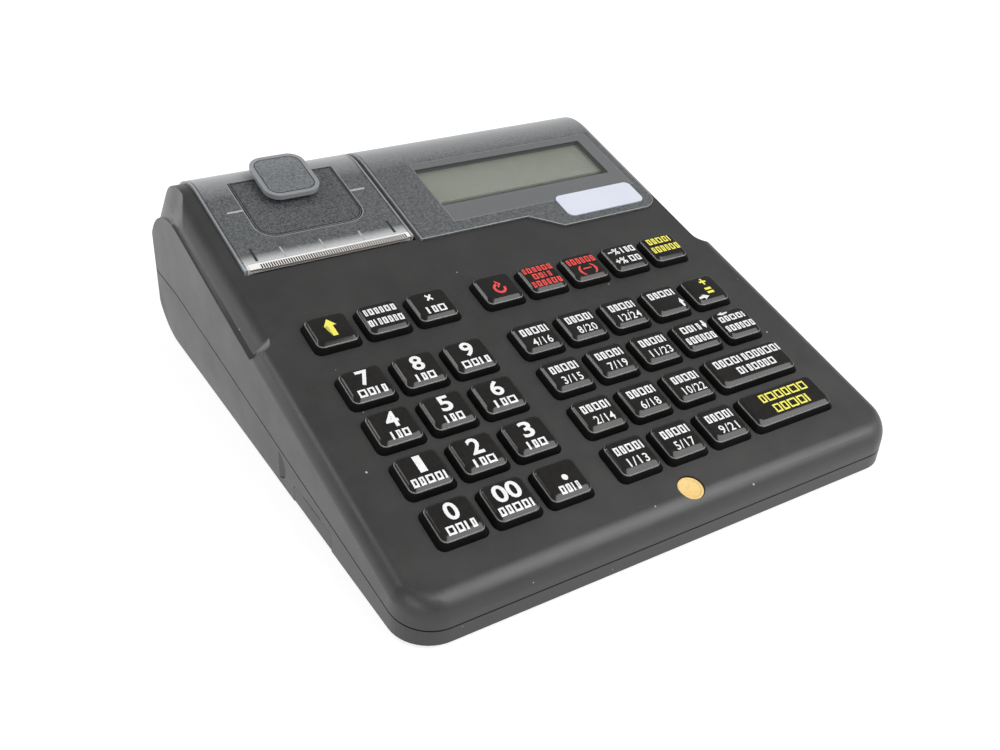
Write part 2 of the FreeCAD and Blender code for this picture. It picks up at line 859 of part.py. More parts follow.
def lever_bearings():
    """The blocks under the cover that hold the lever's pins, and the bores through them."""
    blocks = []
    bores = []
    reach = s.lever_pin_reach + s.lever_gap
    for x0 in (lever_x0 - s.lever_gap - reach, lever_x1 + s.lever_gap):
        blocks.append(
            deck_block(
                x0,
                x0 + reach,
                s.lever_pivot - s.lever_block / 2,
                s.lever_pivot + s.lever_block / 2,
                lever_pin_above - s.lever_block / 2,
                s.cover_proud - s.cover_thickness / 2,
            )
        )
        bores.append(across(x0, x0 + reach, lever_axis, s.lever_pin_radius + s.running_clearance))
    return blocks, bores


def make_release_lever():
    plate = lever_outline(0, lever_foot, lever_top)
    tab_x0 = from_left(s.tab_left)
    tab_x1 = from_left(s.tab_right)
    tab_foot = lever_top + s.tab_rise
    tab = rounded_plate(tab_x1 - tab_x0, s.tab_rear - s.tab_front, s.tab_corner, s.tab_thickness)
    tab.Placement = on_deck((tab_x0 + tab_x1) / 2, (s.tab_front + s.tab_rear) / 2, tab_foot)
    neck = deck_block(
        tab_x0 + s.tab_neck_side,
        tab_x1 - s.tab_neck_side,
        s.tab_neck_front,
        s.tab_neck_rear,
        lever_foot,
        tab_foot + s.tab_thickness / 2,
    )
    pins = []
    for x0, x1 in ((lever_x0 - s.lever_pin_reach, lever_x0 + s.lever_block),
                   (lever_x1 - s.lever_block, lever_x1 + s.lever_pin_reach)):
        pins.append(across(x0, x1, lever_axis, s.lever_pin_radius))
    cheeks = [
        deck_block(
            x0,
            x0 + s.lever_block,
            s.lever_pivot - s.lever_block / 2,
            s.lever_pivot + s.lever_block / 2,
            lever_pin_above - s.lever_block / 2,
            lever_top - s.lever_thickness / 2,
        )
        for x0 in (lever_x0, lever_x1 - s.lever_block)
    ]
    lever = plate.multiFuse([tab, neck] + pins + cheeks)
    return add("release_lever", lever.removeSplitter())


# Tear bar: a steel strip with saw teeth, let into the top of the cover's front edge

bar_x0 = from_left(s.bar_left)
bar_x1 = from_left(s.bar_right)
bar_foot = s.cover_proud - s.bar_sink - s.bar_thickness


def bar_rebate():
    """The step in the cover that the tear bar lies on."""
    back = s.tear_along + s.bar_depth + s.bar_fit
    return deck_block(bar_x0 - s.bar_fit, bar_x1 + s.bar_fit, s.tear_along - s.wall, back, bar_foot, s.overrun)


def make_tear_bar():
    x0 = from_left(s.paper_left)
    step = s.paper_width / s.tooth_count
    root = s.tear_along + s.tooth_depth
    back = s.tear_along + s.bar_depth
    points = [(bar_x0, root)]
    for tooth in range(int(s.tooth_count)):
        points.append((x0 + tooth * step, root))
        points.append((x0 + (tooth + 1 / 2) * step, s.tear_along))
    points += [(x0 + s.paper_width, root), (bar_x1, root), (bar_x1, back), (bar_x0, back)]
    corners = [deck(x, along, bar_foot) for x, along in points]
    face = Part.Face(Part.makePolygon(corners + corners[:1]))
    lift = deck(0, 0, s.bar_thickness) - deck(0, 0, 0)
    return add("tear_bar", face.extrude(lift))


# Print mechanism

def gear(teeth, centre_along, centre_above, x0, x1, bore, turn):
    """A spur gear along X with straight-sided teeth, one of them pointing along turn."""
    pitch_radius = s.gear_module * teeth / 2
    tip = pitch_radius + s.gear_module
    root = pitch_radius - s.gear_module * 5 / 4
    half_tooth = (math.pi * s.gear_module / 2 - s.gear_backlash) / 2
    flare = math.tan(math.radians(20))
    points = []
    for tooth in range(int(teeth)):
        middle = turn + 2 * math.pi * tooth / teeth
        for radius, side in ((root, -1), (tip, -1), (tip, 1), (root, 1)):
            half = (half_tooth - (radius - pitch_radius) * flare) / radius
            angle = middle + side * half
            points.append((centre_along + radius * math.cos(angle), centre_above + radius * math.sin(angle)))
    corners = [deck(x0, along, above) for along, above in points]
    wheel = Part.Face(Part.makePolygon(corners + corners[:1])).extrude(Vector(x1 - x0, 0, 0))
    if bore:
        wheel = wheel.cut(across(x0, x1, deck(0, centre_along, centre_above), bore))
    return wheel


def make_print_mechanism():
    paper_x0 = from_left(s.paper_left)
    ear_face = cover_x0 + s.cover_side_wall
    gear_x0 = ear_face + s.gear_side_gap
    gear_x1 = gear_x0 + s.gear_width
    platen_along = s.tear_along + s.platen_along

    shaft = doc.addObject("Part::Cylinder", "platen_shaft")
    bind(
        shaft,
        Radius="sizes.shaft_radius",
        Height="sizes.bay_right - sizes.bay_left - 2 * sizes.cover_gap - sizes.cover_side_wall",
    )
    start = Vector(cover_x0 + s.cover_side_wall / 2, platen_axis.y, platen_axis.z)
    along_x = FreeCAD.Rotation(Vector(0, 0, 1), Vector(1, 0, 0))
    shaft.Placement = FreeCAD.Placement(start, along_x)
    keep("platen_shaft", shaft)

    sleeve = bind(
        doc.addObject("Part::Cylinder", "sleeve"), Radius="sizes.platen_radius", Height="sizes.paper_width"
    )
    core = bind(
        doc.addObject("Part::Cylinder", "sleeve_bore"), Radius="sizes.shaft_radius", Height="sizes.paper_width"
    )
    roller = doc.addObject("Part::Cut", "platen_roller")
    roller.Base = sleeve
    roller.Tool = core
    roller.Placement = FreeCAD.Placement(Vector(paper_x0, platen_axis.y, platen_axis.z), along_x)
    keep("platen_roller", roller)

    wheel = gear(s.platen_teeth, platen_along, -s.platen_depth, gear_x0, gear_x1, s.shaft_radius, mesh)
    add("platen_gear", wheel)
    half_step = math.pi / s.pinion_teeth
    pinion = gear(
        s.pinion_teeth, pinion_along, pinion_above, gear_x0, gear_x1, 0, mesh + math.pi + half_step
    )
    pinion = pinion.fuse(across(gear_x0, gear_x1 + s.spindle_length, pinion_axis, s.spindle_radius))
    add("motor_pinion", pinion.removeSplitter())

    motor_x0 = gear_x1 + s.gear_side_gap
    motor = across(motor_x0, motor_x0 + s.motor_length, pinion_axis, s.motor_radius)
    socket = s.spindle_radius + s.running_clearance
    motor = motor.cut(across(motor_x0, motor_x0 + s.spindle_length, pinion_axis, socket))
    add("drive_motor", motor)

    head_y0 = s.tray_front + s.tray_wall
    head_y1 = head_y0 + s.head_thickness
    head_z0 = pinion_axis.z + s.motor_radius + s.seat_gap
    head = block(paper_x0, paper_x0 + s.paper_width, head_y0, head_y1, head_z0, head_z0 + s.head_height)
    add("print_head", head.cut(across(paper_x0, paper_x0 + s.paper_width, platen_axis, s.platen_radius + s.seat_gap)))


def make_paper_tray():
    """The tray under the bay: a cradle for the paper roll, a shelf for the motor and side plates."""
    inner_x0 = bay_x0 - s.tray_gap
    inner_x1 = bay_x1 + s.tray_gap
    outer_x0 = inner_x0 - s.tray_wall
    outer_x1 = inner_x1 + s.tray_wall
    cradle = s.roll_radius + s.roll_clearance
    shelf = pinion_axis.z - s.motor_radius - s.seat_gap
    rear = s.tray_rear
    roof = round_centre.z + s.rear_round
    outer = block(outer_x0, outer_x1, s.tray_front, rear, shelf - s.tray_wall, roof)
    outer = outer.fuse(across(outer_x0, outer_x1, roll_centre, cradle + s.tray_wall))
    cavity = block(inner_x0, inner_x1, s.tray_front + s.tray_wall, rear - s.tray_wall, shelf, roof)
    cavity = cavity.fuse(across(inner_x0, inner_x1, roll_centre, cradle))
    rim = hinge_point.z - s.hinge_barrel_radius - s.cover_side_depth
    cavity = cavity.fuse(block(inner_x0, inner_x1, rear - s.overrun, rear + s.overrun, rim, roof))
    floor = [Vector(0, half_depth, 0), Vector(0, -half_depth, 0)]
    under_top = under_skin(s.wall + s.tray_gap, outer_x0, outer_x1, floor)
    tray = outer.cut(cavity).common(under_top)
    return add("paper_tray", tray.removeSplitter())


# Display: a smoked window let into the top, and the liquid crystal module below it

window_x0 = from_left(s.window_left)
window_x1 = half_width - s.window_side_inset
view_x0 = from_left(s.view_left)
view_x1 = from_left(s.view_right)


def window_region(grow):
    """The window's plan: its front edge runs straight, then steps forward to a nose."""
    nose_x = from_left(s.nose_left)
    ramp_x = nose_x - s.nose_ramp
    plan = [
        (window_x0 - grow, s.window_front - grow),
        (ramp_x - grow / 2, s.window_front - grow),
        (nose_x - grow / 2, s.window_nose - grow),
        (window_x1 + grow, s.window_nose - grow),
        (window_x1 + grow, s.case_depth + s.overrun),
        (window_x0 - grow, s.case_depth + s.overrun),
    ]
    low = -s.wall - s.overrun
    corners = [Vector(x, along, 0) for x, along in plan]
    face = Part.Face(Part.makePolygon(corners + corners[:1]))
    prism = face.extrude(Vector(0, 0, 2 * (s.wall + s.overrun)))
    nose_corner = [
        edge
        for edge in prism.Edges
        if abs(edge.tangentAt(edge.FirstParameter).z) > rise
        and edge.CenterOfMass.x > window_x1
        - s.wall
        and edge.CenterOfMass.y < s.window_front
    ]
    prism = prism.makeFillet(s.window_corner + grow, nose_corner)
    prism.Placement = on_deck(0, 0, low)
    region = bay_region(window_x0 - grow, window_x1 + grow, s.window_nose - grow, math.radians(s.window_rear_angle))
    return prism.common(region)


def make_display_window():
    shell = skin_shell(s.cover_proud, s.cover_proud - s.cover_thickness, window_x0, window_x1)
    return add("display_window", shell.common(window_region(0)))


def make_lcd_module():
    """A framed display module, a box with the glass set back in it."""
    margin = s.module_margin
    above = -s.wall - s.seat_gap
    frame = deck_block(
        view_x0 - margin, view_x1 + margin, s.view_front - margin, s.view_rear + margin,
        above - s.module_depth, above,
    )
    opening = deck_block(
        from_left(s.glass_left), from_left(s.glass_right), s.glass_front, s.glass_rear,
        above - s.glass_drop, above + s.overrun,
    )
    return add("lcd_module", frame.cut(opening))


def make_label_plate():
    body = doc.addObject("PartDesign::Body", "label_plate")
    outline = rounded_sketch(
        body, "plate_outline", "sizes.label_length", "sizes.label_width", "sizes.label_corner", "0 mm"
    )
    pad(body, "plate", outline, "sizes.label_thickness")
    body.Placement = on_deck(from_left(s.label_x), s.label_along, s.cover_proud)
    return keep("label_plate", body)


def make_seal_plug():
    plug = doc.addObject("Part::Cylinder", "seal_plug")
    bind(plug, Radius="sizes.seal_radius", Height="sizes.seal_thickness")
    plug.Placement = on_deck(from_left(s.seal_x), s.seal_along, -s.seal_drop - s.seal_thickness)
    return keep("seal_plug", plug)


# Top shell

def make_top_case():
    outer = top_block(0, s.seam_gap / 2)
    inner = top_block(s.wall, -s.overrun)
    shell = outer.cut(inner)
    holes = [
        key_hole(x, along, wide, s.key_clearance, -s.wall - s.overrun / 2, s.overrun)
        for name, x, along, wide in key_list()
    ]
    holes.append(bay_region(bay_x0, bay_x1, s.tear_along - s.slot_front, rear_angle))
    holes.append(across(bay_x0, bay_x1, hinge_point, s.hinge_barrel_radius + s.hinge_gap))
    recess = window_region(s.window_fit)
    floor = [Vector(0, half_depth, underside), Vector(0, -half_depth, underside)]
    below = under_skin(s.wall - s.window_ledge, -half_width, half_width, floor)
    holes.append(recess.cut(below))
    holes.append(deck_block(view_x0, view_x1, s.view_front, s.view_rear, -s.wall - s.overrun, s.overrun))
    well = Part.makeCylinder(s.seal_radius + s.well_clearance, s.overrun)
    well_floor = -s.seal_drop - s.seal_thickness
    well.Placement = on_deck(from_left(s.seal_x), s.seal_along, well_floor)
    well_cup = Part.makeCylinder(s.seal_radius + s.well_clearance + s.lip_wall, s.wall)
    well_cup.Placement = on_deck(from_left(s.seal_x), s.seal_along, well_floor - s.lip_wall)
    for side_x, _, depth in socket_mouths():
        holes.append(
            block(
                side_x - s.socket_mouth_width / 2 - s.lip_wall,
                side_x + s.socket_mouth_width / 2 + s.lip_wall,
                half_depth - s.wall - s.overrun / 2,
                half_depth + s.overrun,
                socket_z - s.socket_mouth_height / 2 - s.lip_wall,
                socket_z + s.socket_mouth_height / 2 + s.lip_wall,
            )
        )
    shell = shell.fuse(well_cup.common(outer)).cut(well)
    shell = shell.cut(holes)
    bosses = [across(x0, x0 + s.hinge_lug_length, hinge_point, s.hinge_barrel_radius).common(outer)
              for x0 in (bay_x0 - s.hinge_lug_length, bay_x1)]
    bores = [across(x0, x0 + s.hinge_lug_length, hinge_point, s.hinge_pin_radius + s.running_clearance)
             for x0 in (bay_x0 - s.hinge_lug_length, bay_x1)]
    for x, y in boss_places():
        boss = Part.makeCylinder(s.boss_radius, s.case_depth, Vector(x, y, boss_join(y)))
        bosses.append(boss.common(under_skin(s.wall / 2, -half_width, half_width, floor)))
        bores.append(Part.makeCylinder(s.screw_radius, s.screw_grip, Vector(x, y, boss_join(y))))
    return add("top_case", shell.multiFuse(bosses).cut(bores).removeSplitter())


def boss_join(y):
    """The height at which the bosses of the two shells meet: just above the seam."""
    back = (y + half_depth) / (s.case_depth - s.seam_level_run)
    return underside + s.seam_front + (s.seam_rear - s.seam_front) * min(back, 1) + s.lip_height


# Base shell with its lip, bosses, board posts and the cut-outs in its sides

def make_base_case():
    outer = base_block(0, -s.seam_gap / 2)
    inner = base_block(s.wall, s.overrun)
    shell = outer.cut(inner)
    lip_inset = s.wall + s.lip_clearance
    lip_outer = base_block(lip_inset, s.lip_height)
    lip_inner = base_block(lip_inset + s.lip_wall, s.lip_height + s.overrun)
    root = -s.seam_gap / 2 - s.lip_height
    lip = lip_outer.cut(lip_inner).cut(base_block(0, root))
    ring = base_block(s.wall / 2, -s.seam_gap / 2).cut(base_block(lip_inset + s.lip_wall, s.overrun))
    ring = ring.cut(base_block(0, root))
    shell = shell.multiFuse([lip, ring])
    posts = []
    for x, y in boss_places():
        top = boss_join(y) - s.screw_clearance
        posts.append(Part.makeCylinder(s.boss_radius, top - underside, Vector(x, y, underside)))
    for x, along in post_places():
        foot = deck(x, along, -board_foot)
        post = Part.makeCylinder(s.post_radius, foot.z + s.wall, Vector(x, foot.y, underside))
        board_space = deck_block(-half_width, half_width, 0, s.case_depth, -board_foot, s.overrun)
        posts.append(post.cut(board_space))
    shell = shell.multiFuse(posts)
    cuts = []
    for x, y in boss_places():
        height = boss_join(y)
        cuts.append(Part.makeCylinder(s.screw_radius + s.screw_clearance, height, Vector(x, y, 0)))
        head_room = s.screw_head_height + s.screw_clearance + s.foot_recess
        cuts.append(
            Part.makeCylinder(
                s.screw_head_radius + s.screw_clearance, head_room + underside, Vector(x, y, 0)
            )
        )
    for x, y in foot_places():
        recess = s.foot_radius + s.screw_clearance
        cuts.append(Part.makeCylinder(recess, underside + s.foot_recess, Vector(x, y, 0)))
    cuts += door_opening()
    cuts.append(service_box(-half_width, service_x0 + s.wall, s.service_width, s.service_height, s.service_seat))
    cuts.append(thumb_notch())
    return add("base_case", shell.cut(cuts).removeSplitter())


def post_places():
    """Four posts under the circuit board."""
    x0, x1, front, back = mat_range(0)
    inset = s.boss_radius + s.post_radius + s.wall
    return [(x, along) for x in (x0 + inset, x1 - inset) for along in (front + inset, back - inset)]


door_y0 = -half_depth + s.door_front
door_y1 = door_y0 + s.door_length
door_axis = Vector(-half_width + s.door_thickness / 2, 0, underside + s.door_thickness / 2)


def along_y(y0, y1, centre, radius):
    """A cylinder along Y, round a centre given as a vector."""
    return Part.makeCylinder(radius, y1 - y0, Vector(centre.x, y0, centre.z), Vector(0, 1, 0))


def door_plate(x0, x1, grow, foot):
    """The side door's plate with its two round upper corners."""
    plate = block(x0, x1, door_y0 - grow, door_y1 + grow, foot, underside + s.door_height + grow)
    upper = [
        edge
        for edge in plate.Edges
        if abs(edge.tangentAt(edge.FirstParameter).x) > run and edge.CenterOfMass.z > underside + s.wall
    ]
    return plate.makeFillet(s.door_corner + grow, upper)


def door_opening():
    """The recess for the door in the left side, open below, with the bores of its pins."""
    inner = -half_width + s.door_thickness + s.door_gap
    recess = door_plate(-half_width - s.overrun, inner, s.door_gap, underside - s.overrun)
    reach = s.door_pin_length + s.door_gap
    bore = along_y(door_y0 - reach, door_y1 + reach, door_axis, s.door_pin_radius + s.running_clearance)
    return recess, bore


def make_side_door():
    """A small flap over the service socket, hinged on pins along its rounded lower edge."""
    plate = door_plate(-half_width, -half_width + s.door_thickness, 0, door_axis.z)
    heel = along_y(door_y0, door_y1, door_axis, s.door_thickness / 2)
    pin_y0 = door_y0 - s.door_pin_length
    pin_y1 = door_y1 + s.door_pin_length
    pins = along_y(pin_y0, pin_y1, door_axis, s.door_pin_radius)
    return add("side_door", plate.multiFuse([heel, pins]).removeSplitter())


def thumb_notch():
    """A shallow round scoop in the left side, deepest at its front edge."""
    centre = Vector(-half_width, -half_depth + s.notch_front, underside + s.notch_height)
    disc = Part.makeCylinder(s.notch_radius, s.overrun, Vector(0, 0, 0), Vector(-1, 0, 0))
    tilt = FreeCAD.Rotation(Vector(0, 0, 1), s.notch_tilt)
    disc.Placement = FreeCAD.Placement(centre, tilt)
    return disc


# Sockets: two square ones and a round one for power in the rear wall, and a flat one
# behind the side door

socket_z = underside + s.seam_rear + s.socket_height


def socket_mouths():
    """The x of each socket, its kind and its depth."""
    x = from_left(s.socket_x)
    return [
        (x, "square", s.socket_mouth_depth),
        (x - s.socket_pitch, "square", s.socket_mouth_depth),
        (x - 2 * s.socket_pitch, "round", s.socket_mouth_depth),
    ]


service_x0 = -half_width + s.door_thickness + s.door_gap + s.service_seat
service_z = underside + s.wall + s.service_seat + s.service_height / 2


def service_box(x0, x1, width, height, grow=0):
    """A box about the service socket's own centre line."""
    y = (door_y0 + door_y1) / 2
    half = width / 2 + grow
    return block(x0, x1, y - half, y + half, service_z - height / 2 - grow, service_z + height / 2 + grow)


def make_service_socket():
    body = service_box(service_x0, service_x0 + s.service_length, s.service_width, s.service_height)
    mouth_x1 = service_x0 + s.service_mouth_depth
    mouth = service_box(service_x0 - s.wall, mouth_x1, s.service_mouth_width, s.service_mouth_height)
    return body.cut(mouth)


def make_cable_sockets():
    bodies = []
    face_y = half_depth - s.lip_wall
    for x, kind, depth in socket_mouths():
        low = socket_z - s.socket_body / 2
        body = block(
            x - s.socket_width / 2, x + s.socket_width / 2,
            half_depth - s.wall - s.seat_gap - s.socket_length, half_depth - s.wall - s.seat_gap,
            low, low + s.socket_body,
        )
        nose = block(
            x - s.socket_mouth_width / 2 - s.lip_wall + s.screw_clearance,
            x + s.socket_mouth_width / 2 + s.lip_wall - s.screw_clearance,
            half_depth - s.wall - s.socket_length / 2, face_y,
            socket_z - s.socket_mouth_height / 2 - s.lip_wall + s.screw_clearance,
            socket_z + s.socket_mouth_height / 2 + s.lip_wall - s.screw_clearance,
        )
        body = body.fuse(nose)
        if kind == "square":
            mouth = block(
                x - s.socket_mouth_width / 2, x + s.socket_mouth_width / 2,
                face_y - depth, face_y + s.overrun,
                socket_z - s.socket_mouth_height / 2, socket_z + s.socket_mouth_height / 2,
            )
        else:
            away = Vector(0, 1, 0)
            mouth = Part.makeCylinder(s.jack_radius, depth + s.overrun, Vector(x, face_y - depth, socket_z), away)
            core = Part.makeCylinder(s.jack_pin_radius, depth - s.lip_wall, Vector(x, face_y - depth, socket_z), away)
            mouth = mouth.cut(core)
        bodies.append(body.cut(mouth).removeSplitter())
    bodies.append(make_service_socket())
    return add("cable_sockets", Part.makeCompound(bodies))


# Fasteners and feet, each a group of like solids

def make_case_screws():
    screws = []
    for x, y in boss_places():
        head_z = underside + s.foot_recess
        head = Part.makeCylinder(s.screw_head_radius, s.screw_head_height, Vector(x, y, head_z))
        length = boss_join(y) + s.screw_grip - s.lip_wall - head_z
        shank = Part.makeCylinder(s.screw_radius - s.screw_clearance, length, Vector(x, y, head_z))
        screws.append(head.fuse(shank).removeSplitter())
    return add("case_screws", Part.makeCompound(screws))


def make_rubber_feet():
    feet = []
    for number, (x, y) in enumerate(foot_places(), 1):
        foot = doc.addObject("Part::Cylinder", f"foot_{number}")
        bind(foot, Radius="sizes.foot_radius", Height="sizes.foot_proud + sizes.foot_recess")
        foot.Placement = FreeCAD.Placement(Vector(x, y, 0), FreeCAD.Rotation())
        feet.append(foot)
    group = doc.addObject("Part::Compound", "rubber_feet")
    group.Links = feet
    return keep("rubber_feet", group)


# Assembly

make_top_case()
make_base_case()
make_side_door()
make_cable_sockets()
make_case_screws()
make_rubber_feet()
make_paper_tray()
make_print_mechanism()
make_printer_cover()
make_release_lever()
make_tear_bar()
make_display_window()
make_lcd_module()
make_label_plate()
make_seal_plug()
make_key_mat()
make_main_board()
for name, x, along, wide in key_list():
    make_key(name, x, along, wide)
doc.recompute()

# Every object has to be sound before anything is written.
for item in doc.Objects:
    if "Invalid" in item.State or "Error" in item.State:
        raise RuntimeError(f"{item.Name} failed: {item.State}")
for label, piece in parts.items():
    if piece.Shape.isNull() or not piece.Shape.isValid():
        raise RuntimeError(f"{label} has no sound shape")

os.makedirs("parts", exist_ok=True)
for label, piece in parts.items():
    piece.Shape.exportStep(f"parts/{label}.step")
print(len(parts), "sub-parts written")
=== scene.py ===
import math

import bmesh
import bpy
from mathutils import Matrix, Vector
from mathutils.bvhtree import BVHTree


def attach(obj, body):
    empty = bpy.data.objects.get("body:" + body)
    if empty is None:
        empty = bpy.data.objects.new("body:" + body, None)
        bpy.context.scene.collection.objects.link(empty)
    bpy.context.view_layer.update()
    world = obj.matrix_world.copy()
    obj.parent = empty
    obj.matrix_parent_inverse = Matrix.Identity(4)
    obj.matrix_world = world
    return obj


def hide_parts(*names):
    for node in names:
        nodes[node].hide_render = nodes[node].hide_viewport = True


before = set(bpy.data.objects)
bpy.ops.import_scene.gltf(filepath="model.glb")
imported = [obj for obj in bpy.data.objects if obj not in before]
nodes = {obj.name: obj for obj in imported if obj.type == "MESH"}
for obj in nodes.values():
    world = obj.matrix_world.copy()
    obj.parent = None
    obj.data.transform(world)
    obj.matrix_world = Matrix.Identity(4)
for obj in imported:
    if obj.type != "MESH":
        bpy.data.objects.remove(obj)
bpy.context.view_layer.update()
scene = bpy.context.scene
mm = 0.001


# --- Camera -----------------------------------------------------------------------------
# A hand-held view from the operator's left, a little above the register. Its place was
# worked out from the grid of keys.
camera = bpy.data.objects.new("camera", bpy.data.cameras.new("camera"))
camera.data.sensor_fit = "HORIZONTAL"
camera.data.sensor_width = 36
camera.data.lens = 40.255
camera.data.clip_start = 0.01
view_right = Vector((0.8441, -0.5336, 0.0523))
view_up = Vector((0.2471, 0.4738, 0.8453))
view_back = Vector((-0.4758, -0.7006, 0.5318))
view_turn = Matrix((view_right, view_up, view_back)).transposed().to_4x4()
camera.matrix_world = Matrix.Translation((-0.2023, -0.2969, 0.2301)) @ view_turn
scene.collection.objects.link(camera)
scene.camera = camera
scene.view_settings.view_transform = "Standard"


# --- Studio -----------------------------------------------------------------------------
# A pale table in a white room. A large soft lamp stands high at the front right, and weaker
# ones behind the register, above it and at its front left. The table glows a little, so that
# it shows white to the camera.
def node(tree, kind, inputs=None, **settings):
    """Adds a node; each input is a number, a colour or a socket to link from."""
    made = tree.nodes.new("ShaderNode" + kind)
    for name, value in settings.items():
        setattr(made, name, value)
    for name, value in (inputs or {}).items():
        if isinstance(value, bpy.types.NodeSocket):
            tree.links.new(value, made.inputs[name])
        else:
            made.inputs[name].default_value = value
    return made


def seen_directly(tree):
    """One for rays that show the room itself: to the camera, in a gloss or through glass."""
    path = node(tree, "LightPath").outputs
    first = node(tree, "Math", {0: path["Is Camera Ray"], 1: path["Is Transmission Ray"]},
                 operation="MAXIMUM")
    return first.outputs[0], path["Is Glossy Ray"]


world = bpy.data.worlds.new("white room")
scene.world = world
world.use_nodes = True
tree = world.node_tree
tree.nodes.clear()
direct, glossy = seen_directly(tree)
height = node(tree, "SeparateXYZ", {0: node(tree, "TexCoord").outputs["Generated"]}).outputs["Z"]
overhead = node(tree, "MapRange", {"Value": height, "From Min": 0.1, "From Max": 0.6, "To Min": 1.0,
                                   "To Max": 0.34})
light = node(tree, "Mix", {0: glossy, 2: 0.42, 3: overhead.outputs[0]}, data_type="FLOAT")
level = node(tree, "Mix", {0: direct, 2: light.outputs[0], 3: 1.0}, data_type="FLOAT")
sky = node(tree, "Background", {"Color": (1, 1, 1, 1), "Strength": level.outputs[0]})
tree.links.new(sky.outputs[0], node(tree, "OutputWorld").inputs["Surface"])


def lamp(name, place, target, size, watts):
    """A square soft lamp, aimed at a point."""
    made = bpy.data.objects.new(name, bpy.data.lights.new(name, "AREA"))
    made.data.shape = "SQUARE"
    made.data.size = size
    made.data.energy = watts
    aim = (Vector(target) - Vector(place)).to_track_quat("-Z", "Y")
    made.matrix_world = Matrix.Translation(place) @ aim.to_matrix().to_4x4()
    made.visible_camera = False
    scene.collection.objects.link(made)


lamp_aim = (0, 0, 0.03)
lamp("front lamp", (0.47, -0.50, 0.77), lamp_aim, 0.8, 8.2)
lamp("rear lamp", (-0.62, 0.85, 0.42), lamp_aim, 0.6, 3.0)
lamp("top lamp", (-0.46, 0.37, 0.90), lamp_aim, 0.3, 1.3)
lamp("fill lamp", (-0.78, -0.70, 0.66), lamp_aim, 0.6, 2.6)

floor_half, floor_drop = 4.0, 0.0001
floor_bm = bmesh.new()
bmesh.ops.create_grid(floor_bm, x_segments=1, y_segments=1, size=floor_half)
floor_mesh = bpy.data.meshes.new("floor")
floor_bm.to_mesh(floor_mesh)
floor = bpy.data.objects.new("floor", floor_mesh)
scene.collection.objects.link(floor)
floor_mesh.transform(Matrix.Translation((0, 0, -floor_drop)))
white_table = bpy.data.materials.new("white table")
white_table.use_nodes = True
tree = white_table.node_tree
direct, glossy = seen_directly(tree)
shown = node(tree, "Math", {0: direct, 1: glossy}, operation="MAXIMUM")
glow = node(tree, "MapRange", {"Value": shown.outputs[0], "To Min": 0.2, "To Max": 0.78})
surface = tree.nodes["Principled BSDF"]
surface.inputs["Base Color"].default_value = (0.36, 0.36, 0.36, 1)
surface.inputs["Roughness"].default_value = 0.9
surface.inputs["Specular IOR Level"].default_value = 0.0
surface.inputs["Emission Color"].default_value = (1, 1, 1, 1)
tree.links.new(glow.outputs[0], surface.inputs["Emission Strength"])
floor_mesh.materials.append(white_table)


# --- Casing -----------------------------------------------------------------------------
# Two shells of black ABS, injection moulded with a fine spark-eroded grain, the upper one
# screwed down on the lower one from below. They carry a little dust.
def effect_group(name, inputs, outputs):
    """A shared effect as a node group; gives its tree, its inputs and its outputs."""
    tree = bpy.data.node_groups.new(name, "ShaderNodeTree")
    for title, value in inputs.items():
        tree.interface.new_socket(title, in_out="INPUT", socket_type="NodeSocketFloat").default_value = value
    for title in outputs:
        tree.interface.new_socket(title, in_out="OUTPUT", socket_type="NodeSocketFloat")
    return tree, tree.nodes.new("NodeGroupInput").outputs, tree.nodes.new("NodeGroupOutput").inputs


grain_group, given, out = effect_group("moulded grain", {"Scale": 2600.0, "Patches": 60.0},
                                       ["Height", "Mottle"])
place = node(grain_group, "TexCoord").outputs["Object"]
fine = node(grain_group, "TexNoise", {"Vector": place, "Scale": given["Scale"], "Detail": 3.0,
                                      "Roughness": 0.6})
broad = node(grain_group, "TexNoise", {"Vector": place, "Scale": given["Patches"], "Detail": 4.0,
                                       "Roughness": 0.65})
grain_group.links.new(fine.outputs["Fac"], out["Height"])
both = node(grain_group, "Mix", {0: 0.5, 2: fine.outputs["Fac"], 3: broad.outputs["Fac"]}, data_type="FLOAT")
shown = node(grain_group, "MapRange", {"Value": both.outputs[0], "From Min": 0.36, "From Max": 0.64})
grain_group.links.new(shown.outputs[0], out["Mottle"])

dust_group, given, out = effect_group("dust", {"Scale": 210.0, "Size": 0.085, "Share": 0.12}, ["Mask"])
place = node(dust_group, "TexCoord").outputs["Object"]
cells = node(dust_group, "TexVoronoi", {"Vector": place, "Scale": given["Scale"], "Randomness": 1.0})
lot = node(dust_group, "SeparateColor", {"Color": cells.outputs["Color"]})
picked = node(dust_group, "Math", {0: lot.outputs[0], 1: given["Share"]}, operation="LESS_THAN")
reach = node(dust_group, "Math", {0: given["Size"], 1: lot.outputs[1]}, operation="MULTIPLY")
near = node(dust_group, "Math", {0: cells.outputs["Distance"], 1: reach.outputs[0]}, operation="LESS_THAN")
speck = node(dust_group, "Math", {0: near.outputs[0], 1: picked.outputs[0]}, operation="MULTIPLY")
dust_group.links.new(speck.outputs[0], out["Mask"])


def place_group(tree, group, **inputs):
    """Puts a shared effect in a material with its own values."""
    made = tree.nodes.new("ShaderNodeGroup")
    made.node_tree = group
    for name, value in inputs.items():
        made.inputs[name].default_value = value
    return made.outputs


